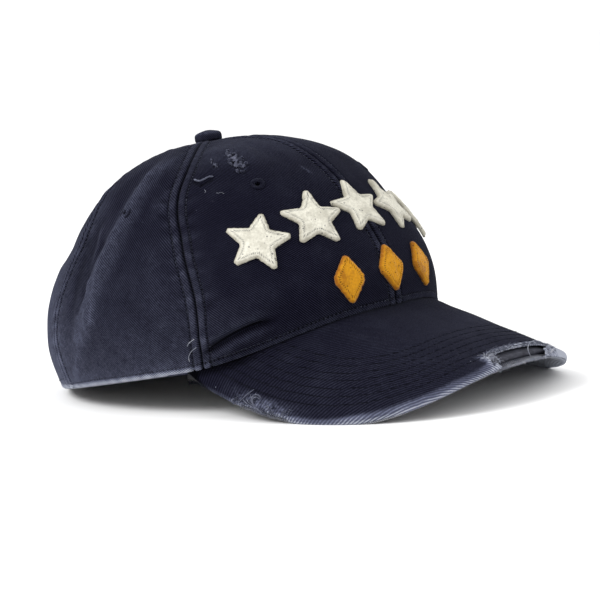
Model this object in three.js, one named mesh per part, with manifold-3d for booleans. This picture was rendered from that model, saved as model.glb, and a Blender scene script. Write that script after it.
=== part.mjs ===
// A six-panel cloth baseball cap with a curved visor, standing on its back hem and the visor's sides.
// Millimetres and degrees. The cap frame has the plane of the head opening at z = 0, +Z up through the
// button and -Y towards the visor. A turn is counted round the head from the front, positive towards
// the wearer's right (-X). The row frame is the cap frame tipped back and set down on its floor.

import * as THREE from 'three';
import { mergeVertices } from 'three/addons/utils/BufferGeometryUtils.js';
import Module from 'manifold-3d';

const wasm = await Module();
wasm.setup();

// ---------------------------------------------------------------- driving dimensions

const CLOTH = 1.6; // a crown panel's wall, two layers of twill
const GAP = 0.3; // between neighbouring pieces

// Crown: half lengths of the head opening, and how the wall closes in and climbs to the button
const HEAD = { front: 101, back: 103.5, side: 90 };
const CROWN_HEIGHT = 111.6;
const BUTTON_BACK = 1.75;
const CROWN_FORM = {
  front: { closing: 0.716, climbing: 0.734 },
  side: { closing: 0.778, climbing: 0.775 },
  back: { closing: 1.05, climbing: 1.2 },
};
const SWELL = { share: 0.062, top: 70 }; // the crown is widest halfway up to top
const BUTTON_HOLE = 3; // radius left open where the six panels meet
const BUTTON_FLAT = 2; // no fold reaches this near the crown's top

// Turn of the two side seams, from the hem (climb 0) to the button (climb 1)
const SEAMS = [
  { climb: 0, frontSide: 61, sideBack: 116 },
  { climb: 0.12, frontSide: 59.4, sideBack: 115.5 },
  { climb: 0.3, frontSide: 61.8, sideBack: 111 },
  { climb: 0.47, frontSide: 63.5, sideBack: 108.5 },
  { climb: 0.65, frontSide: 60.5, sideBack: 112 },
  { climb: 0.85, frontSide: 58.5, sideBack: 117 },
  { climb: 1, frontSide: 58.5, sideBack: 120 },
];

// Soft folds: each runs between two places on the crown; out is a ridge, negative is a valley
const FOLDS = [
  { fromTurn: 57, fromHeight: 27, toTurn: 40, toHeight: 33, width: 8, out: 2.0 },
  { fromTurn: 78, fromHeight: 98, toTurn: 90, toHeight: 62, width: 9, out: 2.0 },
  { fromTurn: 91, fromHeight: 60, toTurn: 95, toHeight: 38, width: 8, out: 1.6 },
  { fromTurn: 100, fromHeight: 78, toTurn: 99, toHeight: 52, width: 8, out: -1.8 },
  { fromTurn: 45, fromHeight: 104, toTurn: 30, toHeight: 99, width: 9, out: 1.4 },
  { fromTurn: -80, fromHeight: 94, toTurn: -88, toHeight: 52, width: 9, out: 1.6 },
  { fromTurn: -98, fromHeight: 74, toTurn: -101, toHeight: 52, width: 8, out: -1.6 },
  { fromTurn: 150, fromHeight: 84, toTurn: 143, toHeight: 56, width: 10, out: -1.8 },
  { fromTurn: -152, fromHeight: 80, toTurn: -140, toHeight: 55, width: 10, out: -1.6 },
];
const ARC_RADIUS = 95; // mean crown radius, which turns a difference in turn into a length

// Visor: its top side bends down to both sides and rises towards the crown
const VISOR = {
  rootHeight: 20.4,
  drop: 37.8,
  dropAt: 80,
  dropPower: 2.44,
  pitch: 23.3,
  halfTurn: 67.2,
  reach: 73,
  halfWidth: 85.8,
  cornerPower: 0.7,
};
const HEM_FALL = 83; // turn over which the hem comes down from the visor's end to the opening's plane
const CUT_FALL = 6; // turn over which the hem's cut turns from the visor's slope to level
const VISOR_END = 0.985; // share of the half turn at which the visor's ends are cut blunt
const ROOT_TUCK = 1.4; // how far the visor's root reaches in under the crown's wall
const COVER = 0.9;
const BOARD = 1.6;
const EDGE_ROUND = 2.6; // how far in from the outer edge the covers begin to curl to each other
const BOARD_GAP = 0.4; // between the board and each cover
const BOARD_INSET = 3.8;

// Wear: the slot torn into the top cover at the front, and the nick in the right side's edge
const TEAR = { x: 2, halfLength: 20, fromEdge: 1.6, width: 7 };
const NICK = { x: -82, y: -82, halfLength: 9, depth: 3.5 };

const SWEATBAND = { thickness: 1, clear: 0.7, height: 30 };
const SWEATBAND_DROP = { front: 3.4, side: 1, back: -0.6 }; // its lower edge below the hem

const BUTTON = { radius: 7, height: 4.6, crown: 1.2, stemRadius: 2.2, stemLength: 3 };
const EYELET = { outer: 3.5, hole: 1.4, height: 0.8, lift: 0.5 };
const EYELET_PLACES = [
  { panel: 'front', turn: 33, height: 86 },
  { panel: 'side', turn: 84, height: 82 },
  { panel: 'back', turn: 147, height: 78 },
];

const FELT = 2.2;
const FELT_HOLLOW = 0.25; // the middle of a patch's flat-faceted underside stays this much further off
const STAR = { count: 5, pitch: 19.5, outer: 15.4, waist: 8.2, middle: 67, fall: 0.0052, lean: 0.48 };
const DIAMOND = {
  count: 3,
  pitch: 16,
  halfWidth: 8.8,
  halfHeight: 12.5,
  middle: 36.5,
  fall: 0.006,
  lean: 0.3,
};

const REST_TILT = 6.6; // the cap tips back by this much when it stands by itself
const FLATTENED = 0.6; // what the floor presses flat
const PRESSED = ['crown_back_right', 'crown_back_left', 'visor_under_cover'];

const COLORS = {
  cloth: 0x23242f,
  under: 0x50525e,
  board: 0x3b3c44,
  white: 0xd9d8cf,
  gold: 0xd9961f,
};

// ---------------------------------------------------------------- the crown's surface

const radians = THREE.MathUtils.degToRad;
const mix = THREE.MathUtils.lerp;
const signedPower = (value, power) => Math.sign(value) * Math.abs(value) ** power;
const wrapTurn = (turn) => THREE.MathUtils.euclideanModulo(turn + 180, 360) - 180;

// A smooth curve through one column of a table whose rows are placed by another column
function tableCurve(rows, place, column) {
  const places = rows.map((row) => row[place]);
  const values = rows.map((row) => row[column]);
  const curve = new THREE.CubicInterpolant(places, values, 1);
  return (at) => curve.evaluate(at)[0];
}

const frontSideSeam = tableCurve(SEAMS, 'climb', 'frontSide');
const sideBackSeam = tableCurve(SEAMS, 'climb', 'sideBack');

// A crown form value at a turn, blended between front, side and back
function formAt(turn, key) {
  const along = Math.cos(radians(turn));
  const end = along > 0 ? CROWN_FORM.front[key] : CROWN_FORM.back[key];
  return mix(CROWN_FORM.side[key], end, along * along);
}

// The smooth crown, by turn and the wall's angle: 0 at the opening's plane, a right angle at the button
function smoothCrown(turn, angle) {
  const around = radians(turn);
  const length = Math.cos(around) > 0 ? HEAD.front : HEAD.back;
  const height = CROWN_HEIGHT * signedPower(Math.sin(angle), formAt(turn, 'climbing'));
  const swell = 1 + SWELL.share * Math.sin(Math.PI * THREE.MathUtils.clamp(height / SWELL.top, 0, 1));
  const spread = Math.abs(Math.cos(angle)) ** formAt(turn, 'closing') * swell;
  const x = -HEAD.side * Math.sin(around) * spread;
  const y = -length * Math.cos(around) * spread + BUTTON_BACK * height / CROWN_HEIGHT;
  return new THREE.Vector3(x, y, height);
}

// The wall's angle where the crown has a given height
function angleAt(turn, height) {
  const share = THREE.MathUtils.clamp(Math.abs(height) / CROWN_HEIGHT, 0, 1);
  return Math.sign(height) * Math.asin(share ** (1 / formAt(turn, 'climbing')));
}

// How far the folds push the cloth out at a place, each fading with distance from its line
function foldAt(turn, height) {
  let out = 0;
  for (const fold of FOLDS) {
    const from = new THREE.Vector2(radians(fold.fromTurn) * ARC_RADIUS, fold.fromHeight);
    const to = new THREE.Vector2(radians(fold.toTurn) * ARC_RADIUS, fold.toHeight);
    const place = new THREE.Vector2(radians(wrapTurn(turn)) * ARC_RADIUS, height);
    const line = to.clone().sub(from);
    const share = THREE.MathUtils.clamp(place.clone().sub(from).dot(line) / line.lengthSq(), 0, 1);
    const away = place.distanceTo(from.addScaledVector(line, share));
    out += fold.out * Math.exp(-((away / fold.width) ** 2));
  }
  return out * THREE.MathUtils.smoothstep(CROWN_HEIGHT - height, BUTTON_FLAT, 4 * BUTTON_FLAT);
}

// The outward direction of a surface given by turn and angle
function outwardOf(surface, turn, angle) {
  const stepTurn = 0.05;
  const stepAngle = 0.0005;
  const here = surface(turn, angle);
  const round = surface(turn + stepTurn, angle).sub(here);
  const up = surface(turn, angle + stepAngle).sub(here);
  return up.cross(round).normalize();
}

function foldedCrown(turn, angle) {
  const point = smoothCrown(turn, angle);
  return point.addScaledVector(outwardOf(smoothCrown, turn, angle), foldAt(turn, point.z));
}

// A point lifted off the crown's outer face, or sunk into the wall where lift is negative
function crownPoint(turn, angle, lift) {
  return foldedCrown(turn, angle).addScaledVector(outwardOf(foldedCrown, turn, angle), lift);
}

// ---------------------------------------------------------------- the visor's surface

function visorHeight(x, y) {
  const drop = VISOR.drop * (Math.abs(x) / VISOR.dropAt) ** VISOR.dropPower;
  return VISOR.rootHeight - drop + Math.tan(radians(VISOR.pitch)) * (y + HEAD.front);
}

// The hem lies on the visor, and past the visor's ends it falls to the opening's plane
function hemHeight(turn) {
  const away = Math.abs(wrapTurn(turn));
  const over = Math.min(away, VISOR.halfTurn);
  let height = 0;
  for (let pass = 0; pass < 6; pass += 1) {
    const point = smoothCrown(over, angleAt(over, height));
    height = visorHeight(point.x, point.y);
  }
  return height * (1 - THREE.MathUtils.smoothstep(away, VISOR.halfTurn, VISOR.halfTurn + HEM_FALL));
}

function hemAngle(turn) {
  return angleAt(turn, hemHeight(turn));
}

// The angle at which one face of the wall starts, so that the hem's cut lies flat on the visor.
// Past the visor's ends the cut turns level.
function wallStart(turn, lift) {
  const away = Math.abs(wrapTurn(turn));
  const past = THREE.MathUtils.smoothstep(away, VISOR.halfTurn, VISOR.halfTurn + CUT_FALL);
  const level = hemHeight(turn);
  let height = level;
  for (let pass = 0; pass < 6; pass += 1) {
    const point = crownPoint(turn, angleAt(turn, height), lift);
    const target = mix(visorHeight(point.x, point.y), level, past);
    height += target - point.z;
  }
  return angleAt(turn, height);
}

// Where the visor meets the crown, seen from above
function visorRoot(turn) {
  const point = smoothCrown(turn, hemAngle(turn));
  return new THREE.Vector2(point.x, point.y);
}

// The visor's outer edge from above: a rounded rectangle's quarter on each side, drawn in at the ends.
// share runs from -1 at the left end to 1 at the right end.
function visorEdge(share) {
  const end = visorRoot(VISOR.halfTurn);
  const angle = share * Math.PI / 2;
  const x = -VISOR.halfWidth * signedPower(Math.sin(angle), VISOR.cornerPower);
  const front = -(HEAD.front + VISOR.reach);
  const y = mix(end.y, front, Math.cos(angle) ** VISOR.cornerPower);
  return new THREE.Vector2(mix(x, Math.sign(share) * end.x, Math.abs(share) ** 10), y);
}

// A point of the visor, given from above and by its depth under the top side. Depth is measured
// square to the visor where upright is 0, and straight down where it is 1.
function visorPoint(x, y, depth, upright) {
  const step = 0.01;
  const height = visorHeight(x, y);
  const alongX = (visorHeight(x + step, y) - visorHeight(x - step, y)) / (2 * step);
  const alongY = (visorHeight(x, y + step) - visorHeight(x, y - step)) / (2 * step);
  const square = new THREE.Vector3(-alongX, -alongY, 1).normalize();
  const down = new THREE.Vector3(0, 0, 1 / square.z);
  return new THREE.Vector3(x, y, height).addScaledVector(square.lerp(down, upright), -depth);
}

// ---------------------------------------------------------------- solids from sections

function volumeOf(positions, indices) {
  const corner = (k) => new THREE.Vector3().fromArray(positions, 3 * indices[k]);
  let volume = 0;
  for (let k = 0; k < indices.length; k += 3) {
    volume += corner(k).dot(corner(k + 1).cross(corner(k + 2))) / 6;
  }
  return volume;
}

// A closed skin over a row of sections, each a closed ring of the same number of points.
// ends is 'ladder' for thin sections whose two halves run side by side, 'fan' for round ones,
// and 'loop' where the last section joins the first.
function skin(sections, ends) {
  const size = sections[0].length;
  const points = sections.flat();
  const indices = [];
  const quad = (a, b, c, d) => indices.push(a, b, c, a, c, d);
  const spans = ends === 'loop' ? sections.length : sections.length - 1;
  for (let s = 0; s < spans; s += 1) {
    const here = s * size;
    const next = ((s + 1) % sections.length) * size;
    for (let k = 0; k < size; k += 1) {
      const after = (k + 1) % size;
      quad(here + k, here + after, next + after, next + k);
    }
  }
  const last = (sections.length - 1) * size;
  if (ends === 'ladder') {
    for (let k = 0; k < size / 2 - 1; k += 1) {
      const across = size - 1 - k;
      quad(k, across, across - 1, k + 1);
      quad(last + k, last + k + 1, last + across - 1, last + across);
    }
  }
  if (ends === 'fan') {
    for (const [start, turned] of [[0, true], [last, false]]) {
      const ring = points.slice(start, start + size);
      const middle = ring.reduce((sum, point) => sum.add(point), new THREE.Vector3()).divideScalar(size);
      points.push(middle);
      for (let k = 0; k < size; k += 1) {
        const pair = [start + k, start + ((k + 1) % size)];
        if (turned) pair.reverse();
        indices.push(points.length - 1, ...pair);
      }
    }
  }
  const positions = points.flatMap((point) => point.toArray());
  if (volumeOf(positions, indices) < 0) indices.reverse();
  const geometry = new THREE.BufferGeometry();
  geometry.setAttribute('position', new THREE.Float32BufferAttribute(positions, 3));
  geometry.setIndex(indices);
  return geometry;
}

function toSolid(geometry) {
  const bare = geometry.clone();
  bare.deleteAttribute('normal');
  bare.deleteAttribute('uv');
  const merged = mergeVertices(bare, 1e-4);
  const vertProperties = new Float32Array(merged.attributes.position.array);
  const triVerts = new Uint32Array(merged.index.array);
  return new wasm.Manifold(new wasm.Mesh({ numProp: 3, vertProperties, triVerts }));
}

function cutAway(geometry, tools) {
  let solid = toSolid(geometry);
  for (const tool of tools) solid = solid.subtract(toSolid(tool));
  const mesh = solid.getMesh();
  const result = new THREE.BufferGeometry();
  result.setAttribute('position', new THREE.Float32BufferAttribute(mesh.vertProperties, 3));
  result.setIndex([...mesh.triVerts]);
  return result;
}

// ---------------------------------------------------------------- the assembly

const cap = new THREE.Group();
cap.rotation.x = -radians(REST_TILT);

function addPiece(name, geometry, color, roughness = 0.95) {
  geometry.computeVertexNormals();
  const material = new THREE.MeshStandardMaterial({ color, roughness, metalness: 0 });
  const piece = new THREE.Mesh(geometry, material);
  piece.name = name;
  cap.add(piece);
  return piece;
}

// Turns a piece made about +Z so that it stands on the crown, lifted off the cloth
function seatOnCrown(piece, turn, angle, lift) {
  const out = outwardOf(foldedCrown, turn, angle);
  piece.position.copy(crownPoint(turn, angle, lift));
  piece.quaternion.setFromUnitVectors(new THREE.Vector3(0, 0, 1), out);
}

// ---------------------------------------------------------------- crown panels

const PANEL_COLUMNS = 9;
const PANEL_ROWS = 13;
const ROW_CROWDING = 1.3; // above 1, rows stand closer near the hem, where the wall is steep

// One panel between two seams, each a turn as a function of climb; the seams keep half a gap each side
function panelGeometry(startSeam, endSeam) {
  const sections = [];
  for (let column = 0; column <= PANEL_COLUMNS; column += 1) {
    const outer = [];
    const inner = [];
    for (let row = 0; row <= PANEL_ROWS; row += 1) {
      const climb = (row / PANEL_ROWS) ** ROW_CROWDING;
      const topAngle = (turn) => Math.acos((BUTTON_HOLE / HEAD.front) ** (1 / formAt(turn, 'closing')));
      const angleOf = (turn, lift) => mix(wallStart(turn, lift), topAngle(turn), climb);
      const radius = (turn) => smoothCrown(turn, angleOf(turn, 0)).setZ(0).length();
      const start = startSeam(climb);
      const end = endSeam(climb);
      const startIn = THREE.MathUtils.radToDeg(GAP / 2 / radius(start));
      const endIn = THREE.MathUtils.radToDeg(GAP / 2 / radius(end));
      const turn = mix(start + startIn, end - endIn, column / PANEL_COLUMNS);
      outer.push(crownPoint(turn, angleOf(turn, 0), 0));
      inner.push(crownPoint(turn, angleOf(turn, -CLOTH), -CLOTH));
    }
    sections.push([...outer, ...inner.reverse()]);
  }
  return skin(sections, 'ladder');
}

const right = (seam) => seam;
const left = (seam) => (climb) => -seam(climb);
const centreFront = () => 0;
const centreBack = () => 180;
const PANELS = [
  { name: 'crown_front_right', seams: [centreFront, right(frontSideSeam)] },
  { name: 'crown_front_left', seams: [left(frontSideSeam), centreFront] },
  { name: 'crown_side_right', seams: [right(frontSideSeam), right(sideBackSeam)] },
  { name: 'crown_side_left', seams: [left(sideBackSeam), left(frontSideSeam)] },
  { name: 'crown_back_right', seams: [right(sideBackSeam), centreBack] },
  { name: 'crown_back_left', seams: [() => -180, left(sideBackSeam)] },
];

// ---------------------------------------------------------------- visor

const VISOR_STATIONS = 26;
const ROOT_STEPS = [1, 0.66, 0.33]; // shares of a ruling at which the flat part has points

// A cover's lip, from the flat part to the split line at half the visor's thickness
const EDGE_DEPTH = COVER + BOARD_GAP + BOARD / 2;
const LIP_ANGLES = [0, 30, 60, 90];

// The visor's sections: for each station, a function from inset and depth to a point.
// inset is measured from the outer edge towards the root.
function visorStations() {
  const stations = [];
  for (let k = 0; k < VISOR_STATIONS; k += 1) {
    const share = mix(-VISOR_END, VISOR_END, k / (VISOR_STATIONS - 1));
    const edge = visorEdge(share);
    const root = visorRoot(share * VISOR.halfTurn);
    root.multiplyScalar(1 - ROOT_TUCK / root.length());
    const inward = root.clone().sub(edge);
    const length = inward.length();
    inward.normalize();
    const at = (inset, depth) => {
      const place = edge.clone().addScaledVector(inward, inset);
      return visorPoint(place.x, place.y, depth + GAP, (inset / length) ** 2);
    };
    stations.push({ length, at });
  }
  return stations;
}

// One cover: its outer side curls over the edge to the split line. turned makes the under cover,
// whose depths count up from the underside.
function coverGeometry(turned) {
  const whole = 2 * EDGE_DEPTH;
  const depthOf = (depth) => (turned ? whole - depth : depth);
  const sections = visorStations().map(({ length, at }) => {
    const flat = ROOT_STEPS.map((share) => mix(EDGE_ROUND, length, share));
    const outer = flat.map((inset) => at(inset, depthOf(0)));
    const inner = flat.map((inset) => at(inset, depthOf(COVER)));
    for (const degrees of LIP_ANGLES) {
      const across = Math.sin(radians(degrees));
      const down = 1 - Math.cos(radians(degrees));
      const lipDepth = EDGE_DEPTH - GAP / 2;
      outer.push(at(EDGE_ROUND * (1 - across), depthOf(lipDepth * down)));
      const innerInset = EDGE_ROUND - (EDGE_ROUND - COVER) * across;
      inner.push(at(innerInset, depthOf(COVER + (lipDepth - COVER) * down)));
    }
    return [...outer, ...inner.reverse()];
  });
  return skin(sections, 'ladder');
}

// The board has its points under the covers' points, so that their flat facets stay side by side
function boardGeometry() {
  const sections = visorStations().map(({ length, at }) => {
    const insets = [...ROOT_STEPS.map((share) => mix(EDGE_ROUND, length, share)), BOARD_INSET];
    const top = insets.map((inset) => at(inset, COVER + BOARD_GAP));
    const bottom = insets.map((inset) => at(inset, COVER + BOARD_GAP + BOARD));
    return [...top, ...bottom.reverse()];
  });
  return skin(sections, 'ladder');
}

// An upright prism over an outline seen from above, to cut wear into the top cover only
function wearTool(outline) {
  const shape = new THREE.Shape(outline);
  const tool = new THREE.ExtrudeGeometry(shape, { depth: 60, bevelEnabled: false });
  tool.translate(0, 0, -40);
  return tool;
}

// The torn slot: a long lens along the front edge
function tearTool() {
  const front = -(HEAD.front + VISOR.reach);
  const middle = front + TEAR.fromEdge + TEAR.width / 2;
  const outline = [];
  for (let k = 0; k < 16; k += 1) {
    const angle = k / 16 * 2 * Math.PI;
    const x = TEAR.x + TEAR.halfLength * Math.cos(angle);
    outline.push(new THREE.Vector2(x, middle + TEAR.width / 2 * Math.sin(angle)));
  }
  return wearTool(outline);
}

function nickTool() {
  const outline = [
    new THREE.Vector2(NICK.x - 8, NICK.y - NICK.halfLength - 3),
    new THREE.Vector2(NICK.x - 8, NICK.y + NICK.halfLength + 3),
    new THREE.Vector2(NICK.x - 0.5, NICK.y + NICK.halfLength),
    new THREE.Vector2(NICK.x + NICK.depth, NICK.y + 1),
    new THREE.Vector2(NICK.x + NICK.depth - 1.5, NICK.y - NICK.halfLength + 2),
  ];
  return wearTool(outline.reverse());
}

// ---------------------------------------------------------------- sweatband, button, eyelets

// The band stays flat behind the folds, which only lift the cloth off it
const BAND_STATIONS = 60;
const BAND_STEPS = [0, 0.3, 0.65, 1];

function sweatbandGeometry() {
  const sections = [];
  for (let k = 0; k < BAND_STATIONS; k += 1) {
    const turn = k / BAND_STATIONS * 360 - 180;
    const along = Math.cos(radians(turn));
    const end = along > 0 ? SWEATBAND_DROP.front : SWEATBAND_DROP.back;
    const bottom = hemHeight(turn) - mix(SWEATBAND_DROP.side, end, along * along);
    const top = hemHeight(turn) + SWEATBAND.height;
    const face = (sink) => BAND_STEPS.map((share) => {
      const angle = angleAt(turn, mix(bottom, top, share));
      return smoothCrown(turn, angle).addScaledVector(outwardOf(smoothCrown, turn, angle), -sink);
    });
    const sink = CLOTH + SWEATBAND.clear;
    sections.push([...face(sink), ...face(sink + SWEATBAND.thickness).reverse()]);
  }
  return skin(sections, 'loop');
}

// A cloth-covered button: a flattened dome with a rounded rim, and the stem that holds it
function buttonGeometry() {
  const rimRound = BUTTON.height / 2;
  const profile = [
    new THREE.Vector2(0, -BUTTON.stemLength),
    new THREE.Vector2(BUTTON.stemRadius, -BUTTON.stemLength),
    new THREE.Vector2(BUTTON.stemRadius, 0),
    new THREE.Vector2(BUTTON.radius - rimRound, 0),
  ];
  for (const degrees of [-45, 0, 45]) {
    const x = BUTTON.radius - rimRound + rimRound * Math.cos(radians(degrees));
    profile.push(new THREE.Vector2(x, rimRound + rimRound * Math.sin(radians(degrees))));
  }
  profile.push(new THREE.Vector2(BUTTON.radius * 0.62, BUTTON.height + BUTTON.crown * 0.35));
  profile.push(new THREE.Vector2(0, BUTTON.height + BUTTON.crown));
  return new THREE.LatheGeometry(profile, 20).rotateX(Math.PI / 2);
}

// A ring of thread round the eyelet's hole
function eyeletGeometry() {
  const shoulder = 0.55;
  const profile = [
    new THREE.Vector2(EYELET.outer, 0),
    new THREE.Vector2(EYELET.outer - shoulder, EYELET.height),
    new THREE.Vector2(EYELET.hole + shoulder, EYELET.height),
    new THREE.Vector2(EYELET.hole, 0),
    new THREE.Vector2(EYELET.outer, 0),
  ];
  return new THREE.LatheGeometry(profile, 14).rotateX(Math.PI / 2);
}

function eyeletHoleTool(turn, height) {
  const punch = new THREE.CylinderGeometry(EYELET.hole, EYELET.hole, 12, 10).rotateX(Math.PI / 2);
  const piece = new THREE.Mesh(punch);
  seatOnCrown(piece, turn, angleAt(turn, height), 0);
  piece.updateMatrix();
  return punch.applyMatrix4(piece.matrix);
}

// ---------------------------------------------------------------- felt appliques

// A point on the crown reached from a centre by going round it and up it along the cloth
function alongCrown(centre, across, up, lift) {
  const tiny = 0.001;
  const rise = (angle) => {
    const step = smoothCrown(centre.turn, angle + tiny).sub(smoothCrown(centre.turn, angle));
    return step.length() / tiny;
  };
  const halfway = centre.angle + up / 2 / rise(centre.angle);
  const angle = centre.angle + up / rise(halfway);
  const step = smoothCrown(centre.turn + 1, angle).sub(smoothCrown(centre.turn, angle)).length();
  return crownPoint(centre.turn + across / step, angle, lift);
}

// A flat outline of felt laid on the crown, with a softened upper edge
function feltGeometry(outline, row, place) {
  const turn = (place - (row.count - 1) / 2) * row.pitch;
  const height = row.middle - row.fall * turn * turn;
  const centre = { turn, angle: angleAt(turn, height) };
  const lean = radians(row.lean * turn);
  const layers = [
    { scale: 0.45, lift: GAP + FELT },
    { scale: 0.86, lift: GAP + FELT },
    { scale: 1, lift: GAP + FELT * 0.6 },
    { scale: 1, lift: GAP },
    { scale: 0.5, lift: GAP + FELT_HOLLOW },
  ];
  const sections = layers.map(({ scale, lift }) => outline.map((point) => {
    const turned = point.clone().rotateAround(new THREE.Vector2(), lean).multiplyScalar(scale);
    return alongCrown(centre, turned.x, turned.y, lift);
  }));
  return skin(sections, 'fan');
}

// A five-pointed star with blunt tips and a point on each flank
function starOutline() {
  const outline = [];
  for (let tip = 0; tip < 5; tip += 1) {
    const angle = radians(90 + tip * 72);
    const ray = (offset, radius) => {
      const towards = angle + radians(offset);
      return new THREE.Vector2(radius * Math.cos(towards), radius * Math.sin(towards));
    };
    const flank = ray(36, STAR.waist).add(ray(4, STAR.outer)).multiplyScalar(0.5);
    const flankBefore = ray(-36, STAR.waist).add(ray(-4, STAR.outer)).multiplyScalar(0.5);
    outline.push(flankBefore, ray(-4, STAR.outer), ray(4, STAR.outer), flank, ray(36, STAR.waist));
  }
  return outline;
}

// An upright diamond with blunt corners and a point halfway along each side
function diamondOutline() {
  const corners = [[1, 0], [0, 1], [-1, 0], [0, -1]];
  const blunt = 0.12;
  return corners.flatMap(([x, y], k) => {
    const before = new THREE.Vector2(...corners[(k + 3) % 4]);
    const after = new THREE.Vector2(...corners[(k + 1) % 4]);
    const corner = new THREE.Vector2(x, y);
    const near = corner.clone().lerp(before, blunt);
    const far = corner.clone().lerp(after, blunt);
    const half = corner.clone().lerp(after, 0.5);
    const size = new THREE.Vector2(DIAMOND.halfWidth, DIAMOND.halfHeight);
    return [near, far, half].map((point) => point.multiply(size));
  });
}

// ---------------------------------------------------------------- putting it together

for (const { name, seams } of PANELS) {
  const [, place, side] = name.split('_');
  const eyelet = EYELET_PLACES.find((row) => row.panel === place);
  const turn = side === 'right' ? eyelet.turn : -eyelet.turn;
  addPiece(name, cutAway(panelGeometry(...seams), [eyeletHoleTool(turn, eyelet.height)]), COLORS.cloth);
  const ring = addPiece(`eyelet_${place}_${side}`, eyeletGeometry(), COLORS.cloth);
  seatOnCrown(ring, turn, angleAt(turn, eyelet.height), EYELET.lift);
}

const button = addPiece('crown_button', buttonGeometry(), COLORS.cloth);
button.position.set(0, BUTTON_BACK, CROWN_HEIGHT + GAP);

addPiece('visor_top_cover', cutAway(coverGeometry(false), [tearTool(), nickTool()]), COLORS.cloth);
addPiece('visor_under_cover', coverGeometry(true), COLORS.under);
addPiece('visor_board', boardGeometry(), COLORS.board);
addPiece('sweatband', sweatbandGeometry(), COLORS.cloth);

const star = starOutline();
for (let place = 0; place < STAR.count; place += 1) {
  addPiece(`felt_star_${place + 1}`, feltGeometry(star, STAR, place), COLORS.white);
}
const diamond = diamondOutline();
for (let place = 0; place < DIAMOND.count; place += 1) {
  addPiece(`felt_diamond_${place + 1}`, feltGeometry(diamond, DIAMOND, place), COLORS.gold);
}

// ---------------------------------------------------------------- set down on the floor

// The floor presses what it touches flat, and the origin is the middle of the cap's box at the floor
cap.updateMatrixWorld(true);
const raw = new THREE.Box3().setFromObject(cap, true);
const floorHeight = raw.min.z + FLATTENED;
const floorTool = new THREE.BoxGeometry(600, 600, 40);
floorTool.translate(0, 0, floorHeight - 20);
floorTool.applyMatrix4(cap.matrixWorld.clone().invert());
for (const name of PRESSED) {
  const piece = cap.getObjectByName(name);
  piece.geometry = cutAway(piece.geometry, [floorTool]);
  piece.geometry.computeVertexNormals();
}
cap.position.set(0, -(raw.min.y + raw.max.y) / 2, -floorHeight);

const root = new THREE.Group();
root.add(cap);

export default root;
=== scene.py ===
"""A washed six-panel baseball cap with a curved visor: its cloth, stitching, felt patches and wear.

Shapes are worked out in the cap frame, in millimetres and degrees: the plane of the head opening is
z = 0, +Z goes up through the button and -Y to the visor. A turn is counted round the head from the
front, positive towards the wearer's right (-X). to_row() stands the points on the floor, in metres.
"""

import math

import bpy
import numpy as np
from mathutils import Matrix, Vector


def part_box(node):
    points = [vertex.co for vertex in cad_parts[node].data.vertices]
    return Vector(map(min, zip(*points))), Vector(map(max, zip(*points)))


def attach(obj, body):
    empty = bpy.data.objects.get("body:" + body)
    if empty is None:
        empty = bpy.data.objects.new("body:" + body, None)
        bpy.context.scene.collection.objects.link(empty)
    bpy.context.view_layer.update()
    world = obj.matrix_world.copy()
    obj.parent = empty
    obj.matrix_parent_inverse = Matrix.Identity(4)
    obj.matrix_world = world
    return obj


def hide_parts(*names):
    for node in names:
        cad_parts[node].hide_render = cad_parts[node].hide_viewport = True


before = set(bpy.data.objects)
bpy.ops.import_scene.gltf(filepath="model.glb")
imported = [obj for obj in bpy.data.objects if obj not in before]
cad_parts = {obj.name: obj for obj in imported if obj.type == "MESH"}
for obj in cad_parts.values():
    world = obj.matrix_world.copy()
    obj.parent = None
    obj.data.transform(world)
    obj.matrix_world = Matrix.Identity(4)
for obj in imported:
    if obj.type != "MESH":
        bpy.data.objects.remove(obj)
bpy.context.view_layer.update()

MM = 0.001

# ---------------------------------------------------------------- driving dimensions, as in the part

CLOTH = 1.6  # the crown wall's thickness
GAP = 0.3  # between neighbouring pieces, in place of the sewing
HEAD = {"front": 101.0, "back": 103.5, "side": 90.0}  # half lengths of the head opening
CROWN_HEIGHT = 111.6
BUTTON_BACK = 1.75  # how far behind the origin the button sits
CROWN_FORM = {
    "front": {"closing": 0.716, "climbing": 0.734},
    "side": {"closing": 0.778, "climbing": 0.775},
    "back": {"closing": 1.05, "climbing": 1.2},
}
SWELL = {"share": 0.062, "top": 70.0}  # the crown is widest halfway up to top
BUTTON_HOLE = 3.0  # radius left open where the six panels meet
BUTTON_FLAT = 2.0  # no fold reaches this near the crown's top

# Turn of the two side seams, from the hem (climb 0) to the button (climb 1)
SEAM_CLIMB = (0, 0.12, 0.3, 0.47, 0.65, 0.85, 1)
FRONT_SIDE_SEAM = (61, 59.4, 61.8, 63.5, 60.5, 58.5, 58.5)
SIDE_BACK_SEAM = (116, 115.5, 111, 108.5, 112, 117, 120)

# Soft folds: turn and height at both ends, width, and how far out; a negative one is a valley
FOLDS = (
    (57, 27, 40, 33, 8, 2.0),
    (78, 98, 90, 62, 9, 2.0),
    (91, 60, 95, 38, 8, 1.6),
    (100, 78, 99, 52, 8, -1.8),
    (45, 104, 30, 99, 9, 1.4),
    (-80, 94, -88, 52, 9, 1.6),
    (-98, 74, -101, 52, 8, -1.6),
    (150, 84, 143, 56, 10, -1.8),
    (-152, 80, -140, 55, 10, -1.6),
)
ARC_RADIUS = 95.0  # turns a turn into a length along the cloth

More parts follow.
